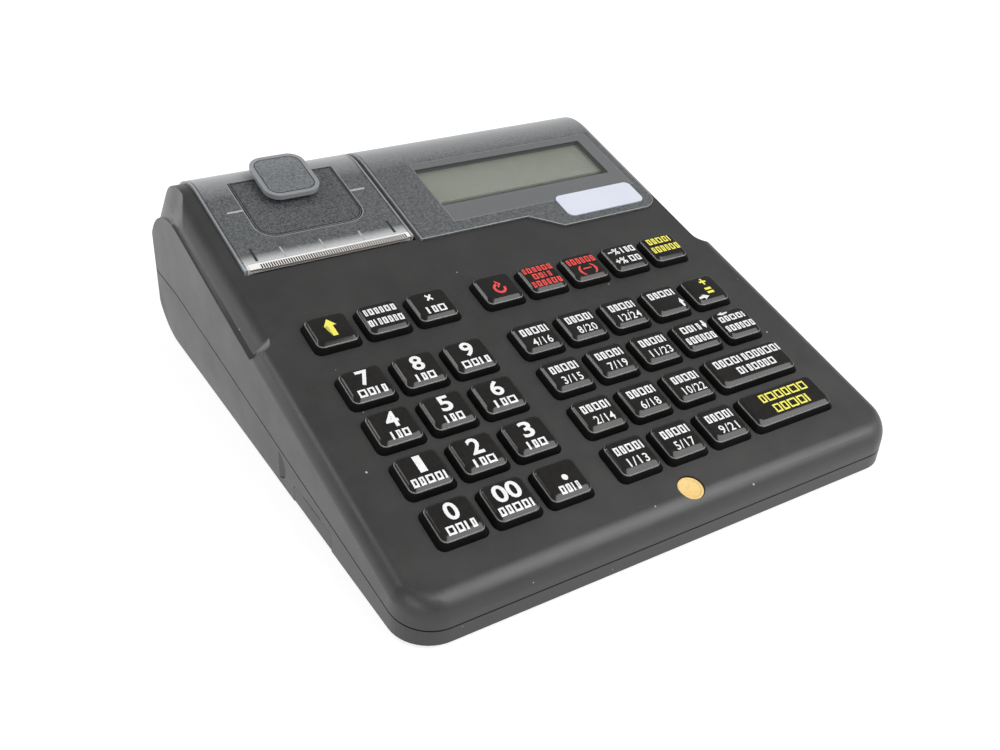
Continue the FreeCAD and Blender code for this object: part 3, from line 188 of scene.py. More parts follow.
def moulded(name, dark, light, rough, grain=2600.0, depth=0.02, dust=0.0, patches=60.0, **plain):
    """A moulded or worked surface: two close shades in patches, a grain and some dust."""
    made = bpy.data.materials.new(name)
    made.use_nodes = True
    tree = made.node_tree
    shader = tree.nodes["Principled BSDF"]
    grains = place_group(tree, grain_group, Scale=grain, Patches=patches)
    shade = node(tree, "Mix", {0: grains["Mottle"], 6: (*dark, 1), 7: (*light, 1)}, data_type="RGBA")
    colour = shade.outputs[2]
    if dust:
        specks = place_group(tree, dust_group, Share=dust)
        dusty = node(tree, "Mix", {0: specks["Mask"], 6: colour, 7: (0.42, 0.42, 0.4, 1)}, data_type="RGBA")
        colour = dusty.outputs[2]
    tree.links.new(colour, shader.inputs["Base Color"])
    sheen = node(tree, "MapRange", {"Value": grains["Mottle"], "To Min": rough * 0.85,
                                    "To Max": rough * 1.15})
    tree.links.new(sheen.outputs[0], shader.inputs["Roughness"])
    bump = node(tree, "Bump", {"Height": grains["Height"], "Distance": depth * mm, "Strength": 1.0})
    tree.links.new(bump.outputs[0], shader.inputs["Normal"])
    for title, value in plain.items():
        shader.inputs[title.replace("_", " ")].default_value = value
    return made


def finish_mesh(bm, name, sharp=35):
    """Turns a bmesh into a mesh that is smooth where its faces meet gently."""
    mesh = bpy.data.meshes.new(name)
    bm.to_mesh(mesh)
    bm.free()
    mesh.shade_smooth()
    mesh.set_sharp_from_angle(angle=math.radians(sharp))
    return mesh


def piece(name, mesh, body, materials, replaced=()):
    """An object that rides on a body, wears its materials and stands for CAD nodes."""
    made = bpy.data.objects.new(name, mesh)
    scene.collection.objects.link(made)
    for finish in materials:
        mesh.materials.append(finish)
    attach(made, body)
    if replaced:
        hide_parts(*replaced)
    return made


def node_copy(name):
    """A merged copy of a CAD node, its flat faces whole again."""
    bm = bmesh.new()
    bm.from_mesh(nodes[name].data)
    bmesh.ops.remove_doubles(bm, verts=bm.verts, dist=0.0005 * mm)
    bmesh.ops.dissolve_limit(bm, angle_limit=math.radians(0.3), verts=bm.verts, edges=bm.edges)
    return bm


def eased(obj, width, angle=40, steps=2):
    """The small radius that a mould or a tool leaves on every edge."""
    bevel = obj.modifiers.new("eased edges", "BEVEL")
    bevel.width = width
    bevel.segments = steps
    bevel.limit_method = "ANGLE"
    bevel.angle_limit = math.radians(angle)
    bevel.harden_normals = True
    return obj


black_abs = moulded("black ABS", (0.0205, 0.0205, 0.0200), (0.0310, 0.0310, 0.0302), 0.40, depth=0.025,
                    dust=0.14, Specular_IOR_Level=0.62)
for name in ("top_case", "base_case"):
    shell = piece(name + "_shell", finish_mesh(node_copy(name), name, 25), "casing", [black_abs],
                  [name])
    weighted = shell.modifiers.new("flat faces", "WEIGHTED_NORMAL")
    weighted.keep_sharp = True

door_abs = moulded("black ABS, door", (0.0205, 0.0207, 0.0205), (0.032, 0.0325, 0.032), 0.42, depth=0.03,
                   Specular_IOR_Level=0.62)
door = piece("side_door_flap", finish_mesh(node_copy("side_door"), "side_door", 25), "door",
             [door_abs], ["side_door"])
eased(door, 0.12 * mm)


def wear(name, material):
    """Gives a CAD node that stays its material."""
    slots = nodes[name].data.materials
    slots.clear()
    slots.append(material)


# --- Feet and screws --------------------------------------------------------------------
# Four rubber feet sit under the lower shell, and four screws of plated steel hold the
# shells together.
wear("rubber_feet", moulded("foot rubber", (0.018, 0.018, 0.018), (0.035, 0.034, 0.033), 0.8, grain=900,
                            depth=0.05))
wear("case_screws", moulded("plated steel", (0.42, 0.42, 0.43), (0.55, 0.55, 0.55), 0.32, grain=4000,
                            depth=0.004, Metallic=1.0))

# --- Sockets ----------------------------------------------------------------------------
# Three socket blocks of black nylon, two in the rear wall and one behind the side door.
wear("cable_sockets", moulded("socket nylon", (0.012, 0.012, 0.012), (0.026, 0.026, 0.026), 0.6, grain=1800))

# --- Electronics ------------------------------------------------------------------------
# A green lacquered circuit board on posts, under a grey rubber mat with a dome below
# each key.
wear("main_board", moulded("board lacquer", (0.010, 0.075, 0.026), (0.022, 0.13, 0.045), 0.35, grain=1200,
                           depth=0.01, patches=140, Coat_Weight=0.5))
wear("key_mat", moulded("grey rubber", (0.26, 0.26, 0.27), (0.36, 0.36, 0.37), 0.7, grain=1500, depth=0.03))

# --- Printer ----------------------------------------------------------------------------
# A black tray holds the paper roll, the ceramic print head and a small steel motor whose
# brass pinion drives the gear of the rubber platen roller in the cover.
wear("paper_tray", moulded("tray plastic", (0.020, 0.020, 0.020), (0.040, 0.040, 0.040), 0.6, depth=0.02))
wear("print_head", moulded("glazed ceramic", (0.66, 0.65, 0.60), (0.80, 0.79, 0.75), 0.22, grain=900,
                           depth=0.004, Coat_Weight=0.6))
wear("drive_motor", moulded("motor can steel", (0.34, 0.34, 0.35), (0.50, 0.50, 0.50), 0.38, grain=3000,
                            depth=0.006, Metallic=1.0))
wear("motor_pinion", moulded("brass", (0.62, 0.45, 0.20), (0.80, 0.62, 0.32), 0.3, grain=3000, depth=0.004,
                             Metallic=1.0))
wear("platen_roller", moulded("platen rubber", (0.030, 0.030, 0.030), (0.055, 0.055, 0.055), 0.75,
                              grain=2200))
wear("platen_shaft", moulded("ground steel", (0.48, 0.48, 0.49), (0.62, 0.62, 0.62), 0.25, grain=5000,
                             depth=0.003, Metallic=1.0))
wear("platen_gear", moulded("white acetal", (0.66, 0.65, 0.60), (0.78, 0.77, 0.72), 0.45, grain=1600,
                            depth=0.01))


# --- Display module ---------------------------------------------------------------------
# A liquid crystal glass in a grey frame under the window. Its cell is grey-green.
deck_front_y, deck_front_z, deck_slope = -106.8 * mm, 15.0 * mm, math.radians(14.4)
deck_frame = Matrix.Translation((0, deck_front_y, deck_front_z)) @ Matrix.Rotation(deck_slope, 4, "X")


def round_edges(bm, edges, radius, steps):
    """Rounds edges to a radius in mm; gives the new faces."""
    return bmesh.ops.bevel(bm, geom=edges, offset=radius * mm, segments=steps, profile=0.5, affect="EDGES",
                           clamp_overlap=True, material=-1)["faces"]


def moulded_block(low, high, corner=0.0, edge=0.0, corner_steps=6, edge_steps=2):
    """A block with upright corners of one radius and an eased top rim, sizes in mm."""
    bm = bmesh.new()
    bmesh.ops.create_cube(bm, size=1)
    size = [(b - a) * mm for a, b in zip(low, high)]
    middle = [(a + b) / 2 * mm for a, b in zip(low, high)]
    bmesh.ops.transform(bm, matrix=Matrix.Translation(middle) @ Matrix.Diagonal((*size, 1)), verts=bm.verts)
    if corner:
        upright = [e for e in bm.edges if abs(e.verts[0].co.z - e.verts[1].co.z) > size[2] / 2]
        round_edges(bm, upright, corner, corner_steps)
    if edge:
        top = high[2] * mm
        rim = [e for e in bm.edges if all(abs(v.co.z - top) < 1e-7 for v in e.verts)]
        round_edges(bm, rim, edge, edge_steps)
    return bm


def join(target, part):
    """Adds one bmesh to another."""
    mesh = bpy.data.meshes.new("part")
    part.to_mesh(mesh)
    part.free()
    target.from_mesh(mesh)
    bpy.data.meshes.remove(mesh)
    return target


def on_deck(bm, x=0.0, v=0.0):
    """Brings a mesh that was made flat to its place on the deck, x across and v up the slope."""
    bmesh.ops.transform(bm, matrix=deck_frame @ Matrix.Translation((x * mm, v * mm, 0)), verts=bm.verts)
    return bm


wear("lcd_module", moulded("display frame", (0.12, 0.123, 0.123), (0.145, 0.147, 0.147), 0.6))
lcd_finish = moulded("display cell", (0.74, 0.775, 0.645), (0.80, 0.835, 0.70), 0.28, grain=6000, depth=0.0,
                     patches=25)
lcd = moulded_block((1.4, 163.6, -3.89), (81.2, 184.7, -1.5), corner=0.3, edge=0.15)
on_deck(lcd)
piece("lcd_glass", finish_mesh(lcd, "lcd_glass"), "casing", [lcd_finish])


# --- Keys -------------------------------------------------------------------------------
# Thirty-eight keys, each a black skirt with a polished black cap set on it. The cap is
# smaller than the skirt, and slopes down at the front and at the left.
column_x = (-70.45, -51.45, -32.45, -5.55, 13.45, 32.45, 51.45, 70.45)
row_v = (23.75, 42.88, 62.01, 81.14, 107.64)
number_rows = (("0", "00", "point"), ("1", "2", "3"), ("4", "5", "6"), ("7", "8", "9"))
sale_rows = (
    ("dept_1", "dept_5", "dept_9", "total"),
    ("dept_2", "dept_6", "dept_10", "subtotal"),
    ("dept_3", "dept_7", "dept_11", "price", "card"),
    ("dept_4", "dept_8", "dept_12", "item", "report"),
)
top_row = ("up", "mode", "times", "clear", "void", "change", "percent", "operator")
wide_keys, wide_extra = {"total": 60.95, "subtotal": 60.95}, 19.0
key_width, key_depth, key_corner = 16.9, 14.9, 2.4
skirt_low, skirt_knee, skirt_high = -2.3, 0.3, 2.05
cap_left, cap_right, cap_front, cap_back = -7.45, 7.35, -6.45, 7.3
cap_low, cap_rim, cap_high = 1.95, 2.4, 3.15
cap_corner, cap_round, rim_round = 2.2, 0.5, 0.26
cap_slopes = {"left": 1.15, "right": 0.5, "front": 2.1, "back": 0.5}
crown_steps = ((0.88, 0.03), (0.78, 0.04), (0.6, 0.03))
skirt_lap, flange_reach, flange_height = 0.05, 0.7, 0.8
stem_tip, stem_root, stem_length = 1.8, 2.0, 2.0


def slice_at(bm, point, across):
    """Cuts a mesh along a plane and keeps both sides."""
    bmesh.ops.bisect_plane(bm, geom=bm.verts[:] + bm.edges[:] + bm.faces[:], dist=1e-7, plane_co=point,
                           plane_no=across)


def draw_in(bm, level, box, left, right, front, back):
    """Moves the outline at one level inwards, by its own amount on each side, in mm."""
    x0, x1, y0, y1 = box
    ring = [v for v in bm.verts if abs(v.co.z - level * mm) < 1e-6]
    wide, deep = x1 - x0, y1 - y0
    shrink = Matrix.Diagonal(((wide - left - right) / wide, (deep - front - back) / deep, 1, 1))
    middle = Vector(((x0 + x1) / 2, (y0 + y1) / 2, 0)) * mm
    shift = Vector(((left - right) / 2, (front - back) / 2, 0)) * mm
    bmesh.ops.transform(bm, verts=ring,
                        matrix=Matrix.Translation(middle + shift) @ shrink @ Matrix.Translation(-middle))


def cut_level(bm, level):
    """Adds an outline round the piece at one height."""
    slice_at(bm, (0, 0, level * mm), (0, 0, 1))


def round_level(bm, level, radius, segments=3):
    """Rounds the edge that runs round the piece at one height."""
    ring = [e for e in bm.edges if all(abs(v.co.z - level * mm) < 1e-6 for v in e.verts)]
    return round_edges(bm, ring, radius, segments)


def key_cap(extra):
    """The polished cap, longer by extra for a wide key."""
    box = (cap_left - extra / 2, cap_right + extra / 2, cap_front, cap_back)
    bm = moulded_block((box[0], box[2], cap_low), (box[1], box[3], cap_high), corner=cap_corner,
                       corner_steps=7)
    cut_level(bm, cap_rim)
    for face in bm.faces:
        face.material_index = 1
    draw_in(bm, cap_high, box, **cap_slopes)
    round_level(bm, cap_high, cap_round, 5)
    # The rim's rounded faces take the light grey cap edge, a painted highlight.
    for face in round_level(bm, cap_rim, rim_round):
        face.material_index = 2
    crown = max(bm.faces, key=lambda f: f.calc_center_median().z + f.calc_area())
    for share, rise in crown_steps:
        crown = bmesh.ops.extrude_discrete_faces(bm, faces=[crown])["faces"][0]
        middle = crown.calc_center_median()
        grow = Matrix.Translation(middle + Vector((0, 0, rise * mm))) @ Matrix.Diagonal((share, share, 1, 1))
        bmesh.ops.transform(bm, verts=crown.verts, matrix=grow @ Matrix.Translation(-middle))
    return bm


def key_skirt(extra):
    """The skirt, drawn in towards the cap, with its flange in the casing and the stem below."""
    half_x, half_y = (key_width + extra) / 2, key_depth / 2
    bm = moulded_block((-half_x, -half_y, skirt_low), (half_x, half_y, skirt_high), corner=key_corner)
    cut_level(bm, skirt_knee)
    draw_in(bm, skirt_high, (-half_x, half_x, -half_y, half_y),
            left=half_x + cap_left - extra / 2 - skirt_lap, right=half_x - cap_right - extra / 2 - skirt_lap,
            front=half_y + cap_front - skirt_lap, back=half_y - cap_back - skirt_lap)
    reach_x, reach_y = half_x + flange_reach, half_y + flange_reach
    flange = moulded_block((-reach_x, -reach_y, skirt_low), (reach_x, reach_y, skirt_low + flange_height),
                           corner=key_corner + flange_reach)
    join(bm, flange)
    stem = bmesh.ops.create_cone(bm, cap_ends=True, segments=28, radius1=stem_tip * mm,
                                 radius2=stem_root * mm, depth=stem_length * mm)
    bmesh.ops.translate(bm, verts=stem["verts"], vec=(0, 0, (skirt_low - stem_length / 2) * mm))
    return bm


skirt_finish = moulded("key skirt", (0.0030, 0.0030, 0.0030), (0.006, 0.006, 0.006), 0.6, depth=0.01,
                       Specular_IOR_Level=0.08)
cap_finish = moulded("polished key cap", (0.0065, 0.006, 0.0052), (0.013, 0.0122, 0.011), 0.15, grain=700,
                     depth=0.0015, patches=120, dust=0.05, Specular_IOR_Level=0.42)
# The cap's rounded rim is light grey: a painted highlight.
cap_rim_highlight = moulded("clear cap rim, painted highlight", (0.14, 0.14, 0.137), (0.24, 0.24, 0.235), 0.16, grain=900,
                      depth=0.001)
key_places = {}
for names, v in zip(number_rows, row_v):
    for name, x in zip(names, column_x):
        key_places[name] = (x, v)
for names, v in zip(sale_rows, row_v):
    for name, x in zip(names, column_x[3:]):
        key_places[name] = (wide_keys.get(name, x), v)
for name, x in zip(top_row, column_x):
    key_places[name] = (x, row_v[4])

cap_shapes = {}
for name, (x, v) in key_places.items():
    extra = wide_extra if name in wide_keys else 0.0
    cap = key_cap(extra)
    cap_shapes[extra] = BVHTree.FromBMesh(cap)
    skirt = key_skirt(extra)
    key_bm = join(skirt, cap)
    on_deck(key_bm, x, v)
    key = piece("keycap_" + name, finish_mesh(key_bm, "keycap_" + name, 40), f"key_{name}_body",
                [skirt_finish, cap_finish, cap_rim_highlight], ["key_" + name])
    key.modifiers.new("flat faces", "WEIGHTED_NORMAL").keep_sharp = True


# --- Key legends ------------------------------------------------------------------------
# The legends are printed on the caps in white, yellow and red under a clear lacquer.
# Numbers and signs are drawn; words are rows of plain blocks.
def print_ink(name, colour):
    """A printed ink in one colour and a slightly darker shade of it."""
    darker = tuple(c * 0.86 for c in colour)
    return moulded(name, darker, colour, 0.3, grain=1800, depth=0.002, patches=300, Coat_Weight=0.4)


inks = {
    "white": print_ink("white ink", (0.86, 0.87, 0.88)),
    "yellow": print_ink("yellow ink", (0.90, 0.84, 0.12)),
    "red": print_ink("red ink", (0.80, 0.07, 0.06)),
}
block_widths = (1.0, 0.8, 1.1, 0.62, 1.2, 0.9, 0.7)
widest_gap, widest_stroke, bar_share = 0.62, 0.64, 0.65


def text_print(text, dx, dv, width, height, bold=0.024, spacing=1.0):
    """Figures or a sign, stretched to the size that they have on the key."""
    curve = bpy.data.curves.new("figures", "FONT")
    curve.body = text
    curve.offset = bold
    curve.space_character = spacing
    curve.resolution_u = 4
    drawn = bpy.data.objects.new("figures", curve)
    scene.collection.objects.link(drawn)
    bpy.context.view_layer.update()
    mesh = bpy.data.meshes.new_from_object(drawn.evaluated_get(bpy.context.evaluated_depsgraph_get()))
    bpy.data.objects.remove(drawn)
    bpy.data.curves.remove(curve)
    bm = bmesh.new()
    bm.from_mesh(mesh)
    bpy.data.meshes.remove(mesh)
    low = Vector((min(v.co.x for v in bm.verts), min(v.co.y for v in bm.verts), 0))
    high = Vector((max(v.co.x for v in bm.verts), max(v.co.y for v in bm.verts), 0))
    size = Matrix.Diagonal((width * mm / (high.x - low.x), height * mm / (high.y - low.y), 1, 1))
    place = Matrix.Translation((dx * mm, dv * mm, 0)) @ size @ Matrix.Translation(-(low + high) / 2)
    bmesh.ops.transform(bm, matrix=place, verts=bm.verts)
    bmesh.ops.remove_doubles(bm, verts=bm.verts, dist=0.001 * mm)
    return bm


def block_print(count, dx, dv, width, height):
    """A row of plain boxes and bars in place of a word."""
    bm = bmesh.new()
    shares = [block_widths[(i * 3 + count) % len(block_widths)] for i in range(count)]
    gap = min(widest_gap, 0.3 * width / count)
    unit = (width - gap * (count - 1)) / sum(shares)
    left = dx - width / 2
    for i, share in enumerate(shares):
        right, low, high = left + share * unit, dv - height / 2, dv + height / 2
        stroke = min(widest_stroke, 0.4 * share * unit)
        bars = [(left, low, left + stroke, high), (right - stroke, low, right, high),
                (left + stroke, low, right - stroke, low + stroke),
                (left + stroke, high - stroke, right - stroke, high)]
        if share < bar_share:
            bars = [(left, low, left + stroke * 1.3, high)]
        for x0, y0, x1, y1 in bars:
            made = bmesh.ops.create_grid(bm, x_segments=1, y_segments=1, size=0.5)["verts"]
            place = Matrix.Translation(((x0 + x1) / 2 * mm, (y0 + y1) / 2 * mm, 0))
            bmesh.ops.transform(bm, matrix=place @ Matrix.Diagonal(((x1 - x0) * mm, (y1 - y0) * mm, 1, 1)),
                                verts=made)
        left = right + gap
    return bm


def arrow_print(turn, dx, dv, width, length, shaft=0.34, head=0.5):
    """An arrow, turned from straight up by an angle."""
    bm = bmesh.new()
    neck = 0.5 - head
    outline = ((-shaft / 2, -0.5), (shaft / 2, -0.5), (shaft / 2, neck), (0.5, neck), (0, 0.5), (-0.5, neck),
               (-shaft / 2, neck))
    corners = [bm.verts.new((x * width * mm, y * length * mm, 0)) for x, y in outline]
    bmesh.ops.triangulate(bm, faces=[bm.faces.new(corners)])
    place = Matrix.Translation((dx * mm, dv * mm, 0)) @ Matrix.Rotation(math.radians(turn), 4, "Z")
    bmesh.ops.transform(bm, matrix=place, verts=bm.verts)
    return bm


print_step_x, print_step_v, print_lift = 1.5, 0.4, 0.03


def laid_on(bm, shape, x, v):
    """Cuts a print finely, lays it on its cap and brings it to the key's place."""
    side_cuts = [(i * print_step_x * mm, (1, 0, 0)) for i in range(-11, 12)]
    slope_cuts = [(i * print_step_v * mm, (0, 1, 0)) for i in range(-18, 19)]
    for away, across in side_cuts + slope_cuts:
        slice_at(bm, Vector(across) * away, across)
    for vert in bm.verts:
        hit = shape.ray_cast(Vector((vert.co.x, vert.co.y, 10 * mm)), Vector((0, 0, -1)))[0]
        vert.co.z = (hit.z if hit else cap_low * mm) + print_lift * mm
    return on_deck(bm, x, v)


def word(ink, *sizes):
    """The blocks that stand for a word on a key."""
    return ink, block_print, sizes


def sign(ink, *sizes):
    """A figure or a sign on a key."""
    return ink, text_print, sizes


def arrow(ink, *sizes):
    """An arrow on a key."""
    return ink, arrow_print, sizes


legends = {}
letter_rows = {"7": (4, 9.8), "8": (3, 6.9), "9": (4, 10.3), "4": (3, 6.3), "5": (3, 6.5), "6": (3, 8.0),
               "1": (5, 12.0), "2": (3, 7.6), "3": (3, 6.9), "0": (4, 9.6), "00": (5, 12.2),
               "point": (4, 7.1)}
for name, (count, width) in letter_rows.items():
    figure = (name, 0, 2.7, 9.3 if name == "00" else 4.3, 6.5)
    if name == "1":
        figure = (name, -0.2, 2.7, 2.5, 6.5, 0.004)
    if name == "point":
        figure = (".", 0.8, 0.6, 2.1, 2.3)
    legends[name] = [sign("white", *figure), word("white", count, 0.2, -3.4, width, 3.0)]
for i in range(1, 13):
    pair = (f"{i}/{i + 12}", 0.3, -2.4, 9.3 if i > 9 else 7.8, 3.4, 0.012, 1.15)
    legends[f"dept_{i}"] = [word("white", 5, 0.3, 2.9, 11.4, 3.3), sign("white", *pair)]
legends["up"] = [arrow("yellow", 0, 0, 0.9, 4.5, 8.0, 0.4, 0.4)]
legends["mode"] = [word("white", 6, 0, 3.3, 11.7, 3.0), word("white", 7, 0, -1.9, 12.8, 3.0)]
legends["times"] = [sign("white", "×", 0, 3.4, 2.6, 3.3), word("white", 3, 0, -2.4, 7.3, 3.2)]
legends["clear"] = [sign("red", "↻", 0, 0.4, 4.9, 6.8, 0.04)]
legends["void"] = [word("red", 6, 0, 4.5, 12.4, 2.8), word("red", 4, 0, 0.9, 7.8, 2.8),
                   word("red", 6, 0, -2.9, 12.4, 2.8)]
legends["change"] = [word("red", 6, 0, 3.4, 12.2, 3.2), sign("red", "(−)", 0, -1.8, 8.0, 5.0)]
legends["percent"] = [sign("white", "−%", -3.6, 3.5, 5.0, 3.4),
                      word("white", 3, 3.1, 3.5, 6.2, 3.2),
                      sign("white", "+%", -3.4, -1.8, 5.0, 3.4), word("white", 2, 3, -1.8, 5.0, 3.2)]
legends["operator"] = [word("yellow", 5, 0, 4.0, 11.3, 3.3), word("yellow", 6, 0, -0.8, 12.6, 3.3)]
legends["item"] = [word("white", 5, 0, 3.4, 12, 3.2), arrow("white", 0, 5.2, -2.6, 2.2, 4.4)]
legends["report"] = [sign("yellow", "+", 1.3, 4.0, 3.0, 3.4), sign("yellow", "=", 1.0, -0.8, 3.0, 3.0),
                     arrow("white", -90, -3.4, -3.4, 2.5, 4.8)]
legends["price"] = [word("white", 4, -1, 3.2, 8.7, 3.2), arrow("white", 180, 5.4, 3.6, 2.2, 4.1),
                    word("white", 6, 0, -2.1, 12.8, 3.2)]
legends["card"] = [arrow("white", 90, -2.9, 5.8, 1.7, 4.8), word("white", 5, 0, 3.0, 12.2, 2.8),
                   word("white", 6, 0, -1.8, 12.8, 3.0)]
legends["subtotal"] = [word("white", 12, 1.2, 3.5, 31, 3.4), word("white", 7, 1.2, -1.6, 17.3, 3.2)]
legends["total"] = [word("yellow", 6, 1.6, 3.5, 21.2, 3.6), word("yellow", 5, 1.6, -1.75, 16.9, 3.6)]

for name, prints in legends.items():
    x, v = key_places[name]
    shape = cap_shapes[wide_extra if name in wide_keys else 0.0]
    colours = sorted({colour for colour, _, _ in prints})
    whole = bmesh.new()
    for colour, draw, sizes in prints:
        part = draw(*sizes)
        for face in part.faces:
            face.material_index = colours.index(colour)
        join(whole, part)
    laid_on(whole, shape, x, v)
    piece("legend_" + name, finish_mesh(whole, "legend_" + name), f"key_{name}_body",
          [inks[colour] for colour in colours])


# --- Display window ---------------------------------------------------------------------
# One long moulding of smoked acrylic with a frosted border and a clear middle, stepped
# forward on the right. It is set into the upper shell; its edges are polished and painted
# light grey as a highlight.
def deck_run(tree):
    """How far a point lies up the sloping deck, in metres, from its front edge."""
    place = node(tree, "TexCoord").outputs["Object"]
    uphill = (0, math.cos(deck_slope), math.sin(deck_slope))
    run = node(tree, "VectorMath", {0: place, 1: uphill}, operation="DOT_PRODUCT")
    start = -deck_front_y * math.cos(deck_slope) - deck_front_z * math.sin(deck_slope)
    return node(tree, "Math", {0: run.outputs["Value"], 1: start}, operation="ADD").outputs[0]


outline_group, given, out = effect_group("painted edge line",
                                         {"Left": -1.0, "Right": 1.0, "Front": -1.0, "Rear": 1.0,
                                          "Corner": 0.0, "Cut": 1.0, "From": 0.0, "To": 0.0}, ["Mask"])


def worked(operation, a, b):
    """One step of arithmetic in the edge line group."""
    return node(outline_group, "Math", {0: a, 1: b}, operation=operation).outputs[0]


def past_side(place, low, high):
    """How far a place lies past the nearer of two sides, drawn in by the corner radius."""
    middle = worked("MULTIPLY", worked("ADD", low, high), 0.5)
    half = worked("SUBTRACT", worked("MULTIPLY", worked("SUBTRACT", high, low), 0.5), given["Corner"])
    return worked("SUBTRACT", worked("ABSOLUTE", worked("SUBTRACT", place, middle), 0.0), half)


side = node(outline_group, "SeparateXYZ", {0: node(outline_group, "TexCoord").outputs["Object"]}).outputs["X"]
run = deck_run(outline_group)
over_side = past_side(side, given["Left"], given["Right"])
over_end = past_side(run, given["Front"], given["Rear"])
outer = worked("SQRT", worked("ADD", worked("POWER", worked("MAXIMUM", over_side, 0.0), 2.0),
                              worked("POWER", worked("MAXIMUM", over_end, 0.0), 2.0)), 0.0)
inner = worked("MINIMUM", worked("MAXIMUM", over_side, over_end), 0.0)
away = worked("SUBTRACT", worked("ADD", outer, inner), given["Corner"])
away = worked("MAXIMUM", away, worked("SUBTRACT", run, given["Cut"]))
mask = worked("MULTIPLY", worked("GREATER_THAN", away, given["From"]), worked("LESS_THAN", away, given["To"]))
wander = node(outline_group, "TexNoise", {"Scale": 260.0, "Detail": 2.0}).outputs["Fac"]
strength = node(outline_group, "MapRange",
                {"Value": wander, "From Min": 0.38, "From Max": 0.6, "To Min": 0.45}).outputs[0]
outline_group.links.new(worked("MULTIPLY", mask, strength), out["Mask"])


def painted_edge_line(material, shade, start, end, left, right, front, rear, corner=0.3, cut=1000.0):
    """Paints a painted highlight or a painted shade as a line along an outline on the deck, from start to end
    mm outside it.
    """
    tree = material.node_tree
    sizes = {"Left": left, "Right": right, "Front": front, "Rear": rear, "Corner": corner, "Cut": cut,
             "From": start, "To": end}
    line = place_group(tree, outline_group, **{title: value * mm for title, value in sizes.items()})
    base = tree.nodes["Principled BSDF"].inputs["Base Color"]
    tinted = node(tree, "Mix", {0: line["Mask"], 6: base.links[0].from_socket, 7: (*shade, 1)},
                  data_type="RGBA")
    tree.links.new(tinted.outputs[2], base)


def smoked(name, shade, rough, alpha, speckle=0.0, depth=0.02, grain=2400.0, highlight_bands=(), **plain):
    """Tinted plastic that lets a little through, frosted with speckles, with painted highlights in bands."""
    made = moulded(name, tuple(c * (1 - speckle) for c in shade), tuple(c * (1 + speckle) for c in shade),
                   rough, grain=grain, depth=depth, patches=1000, **plain)
    tree = made.node_tree
    shader = tree.nodes["Principled BSDF"]
    shader.inputs["Alpha"].default_value = alpha
    for start, end, highlight_colour in highlight_bands:
        share = node(tree, "MapRange", {"Value": deck_run(tree), "From Min": start * mm,
                                        "From Max": end * mm})
        colour = shader.inputs["Base Color"].links[0].from_socket
        tinted = node(tree, "Mix", {0: share.outputs[0], 6: colour, 7: (*highlight_colour, 1)}, data_type="RGBA")
        tree.links.new(tinted.outputs[2], shader.inputs["Base Color"])
    return made


# The rear of the border is painted lighter: a painted highlight along the rear rounding.
frosted = smoked("frosted window border", (0.108, 0.114, 0.117), 0.34, 0.92, speckle=0.75, depth=0.05,
                 highlight_bands=((186, 206, (0.42, 0.43, 0.435)),))
far, window_left, window_right = 900, -17.9, 88.9
# A painted highlight along the window's left and right edges, and a line of painted shade just inside the
# left one.
painted_edge_line(frosted, (0.30, 0.31, 0.33), -0.6, 0.3, window_left, far, -far, far)
painted_edge_line(frosted, (0.03, 0.032, 0.040), -1.1, -0.6, window_left, far, -far, far)
painted_edge_line(frosted, (0.30, 0.31, 0.33), -0.8, 0.3, -far, window_right, -far, far)
clear = smoked("clear window middle", (0.095, 0.097, 0.094), 0.06, 0.3, depth=0.0)
satin = smoked("satin window border", (0.142, 0.148, 0.150), 0.22, 0.96, speckle=0.06, depth=0.01)
# Light grey on the eased edges of the window, cover and lever: a painted highlight.
polished = smoked("polished edge, painted highlight", (0.26, 0.27, 0.28), 0.12, 0.95, speckle=0.1, depth=0.0)
window = node_copy("display_window")
view_low, view_high = Vector((-0.4, 149.0, 0)) * mm, Vector((84.8, 186.2, 0)) * mm
to_deck = deck_frame.inverted()
glass_low, glass_high = Vector((-0.3, 158.9, 0)) * mm, Vector((79.6, 182.7, 0)) * mm
clear_index, edge_highlight_index, satin_index = 1, 2, 3
for corner in (view_low, view_high, glass_low, glass_high):
    for across in ((1, 0, 0), (0, 1, 0)):
        slice_at(window, deck_frame @ corner, deck_frame.to_3x3() @ Vector(across))
for face in window.faces:
    centre = to_deck @ face.calc_center_median()
    for index, low, high in ((satin_index, view_low, view_high), (clear_index, glass_low, glass_high)):
        if low.x < centre.x < high.x and low.y < centre.y < high.y:
            face.material_index = index
window_piece = piece("window_moulding", finish_mesh(window, "window", 30), "casing",
                     [frosted, clear, polished, satin], ["display_window"])
# The bevel's faces take the polished edge, a painted highlight.
eased(window_piece, 0.3 * mm).modifiers[0].material = edge_highlight_index

# A low polished lip round the clear middle, painted light grey as a highlight.
lip_middle = Vector((42.2 * mm, 167.6 * mm, 0.85 * mm))
lip_width, lip_depth, lip_wall, lip_height = 86.0, 38.0, 0.6, 0.13
lip = bmesh.new()
bmesh.ops.create_grid(lip, x_segments=1, y_segments=1, size=0.5)
lip_size = Matrix.Diagonal((lip_width * mm, lip_depth * mm, 1, 1))
bmesh.ops.transform(lip, matrix=Matrix.Translation(lip_middle) @ lip_size, verts=lip.verts)
bmesh.ops.inset_region(lip, faces=lip.faces[:], thickness=lip_wall * mm, use_boundary=True)
opening = min(lip.faces, key=lambda f: (f.calc_center_median() - lip_middle).length)
bmesh.ops.delete(lip, geom=[opening], context="FACES_ONLY")
raised = bmesh.ops.extrude_face_region(lip, geom=lip.faces[:])["geom"]
bmesh.ops.translate(lip, verts=[v for v in raised if isinstance(v, bmesh.types.BMVert)],
                    vec=(0, 0, lip_height * mm))
bmesh.ops.recalc_face_normals(lip, faces=lip.faces[:])
on_deck(lip)
lip_highlight = smoked("polished lip, painted highlight", (0.22, 0.225, 0.23), 0.15, 0.9, speckle=0.1, depth=0.0)
piece("window_lip", finish_mesh(lip, "window_lip"), "casing", [lip_highlight])


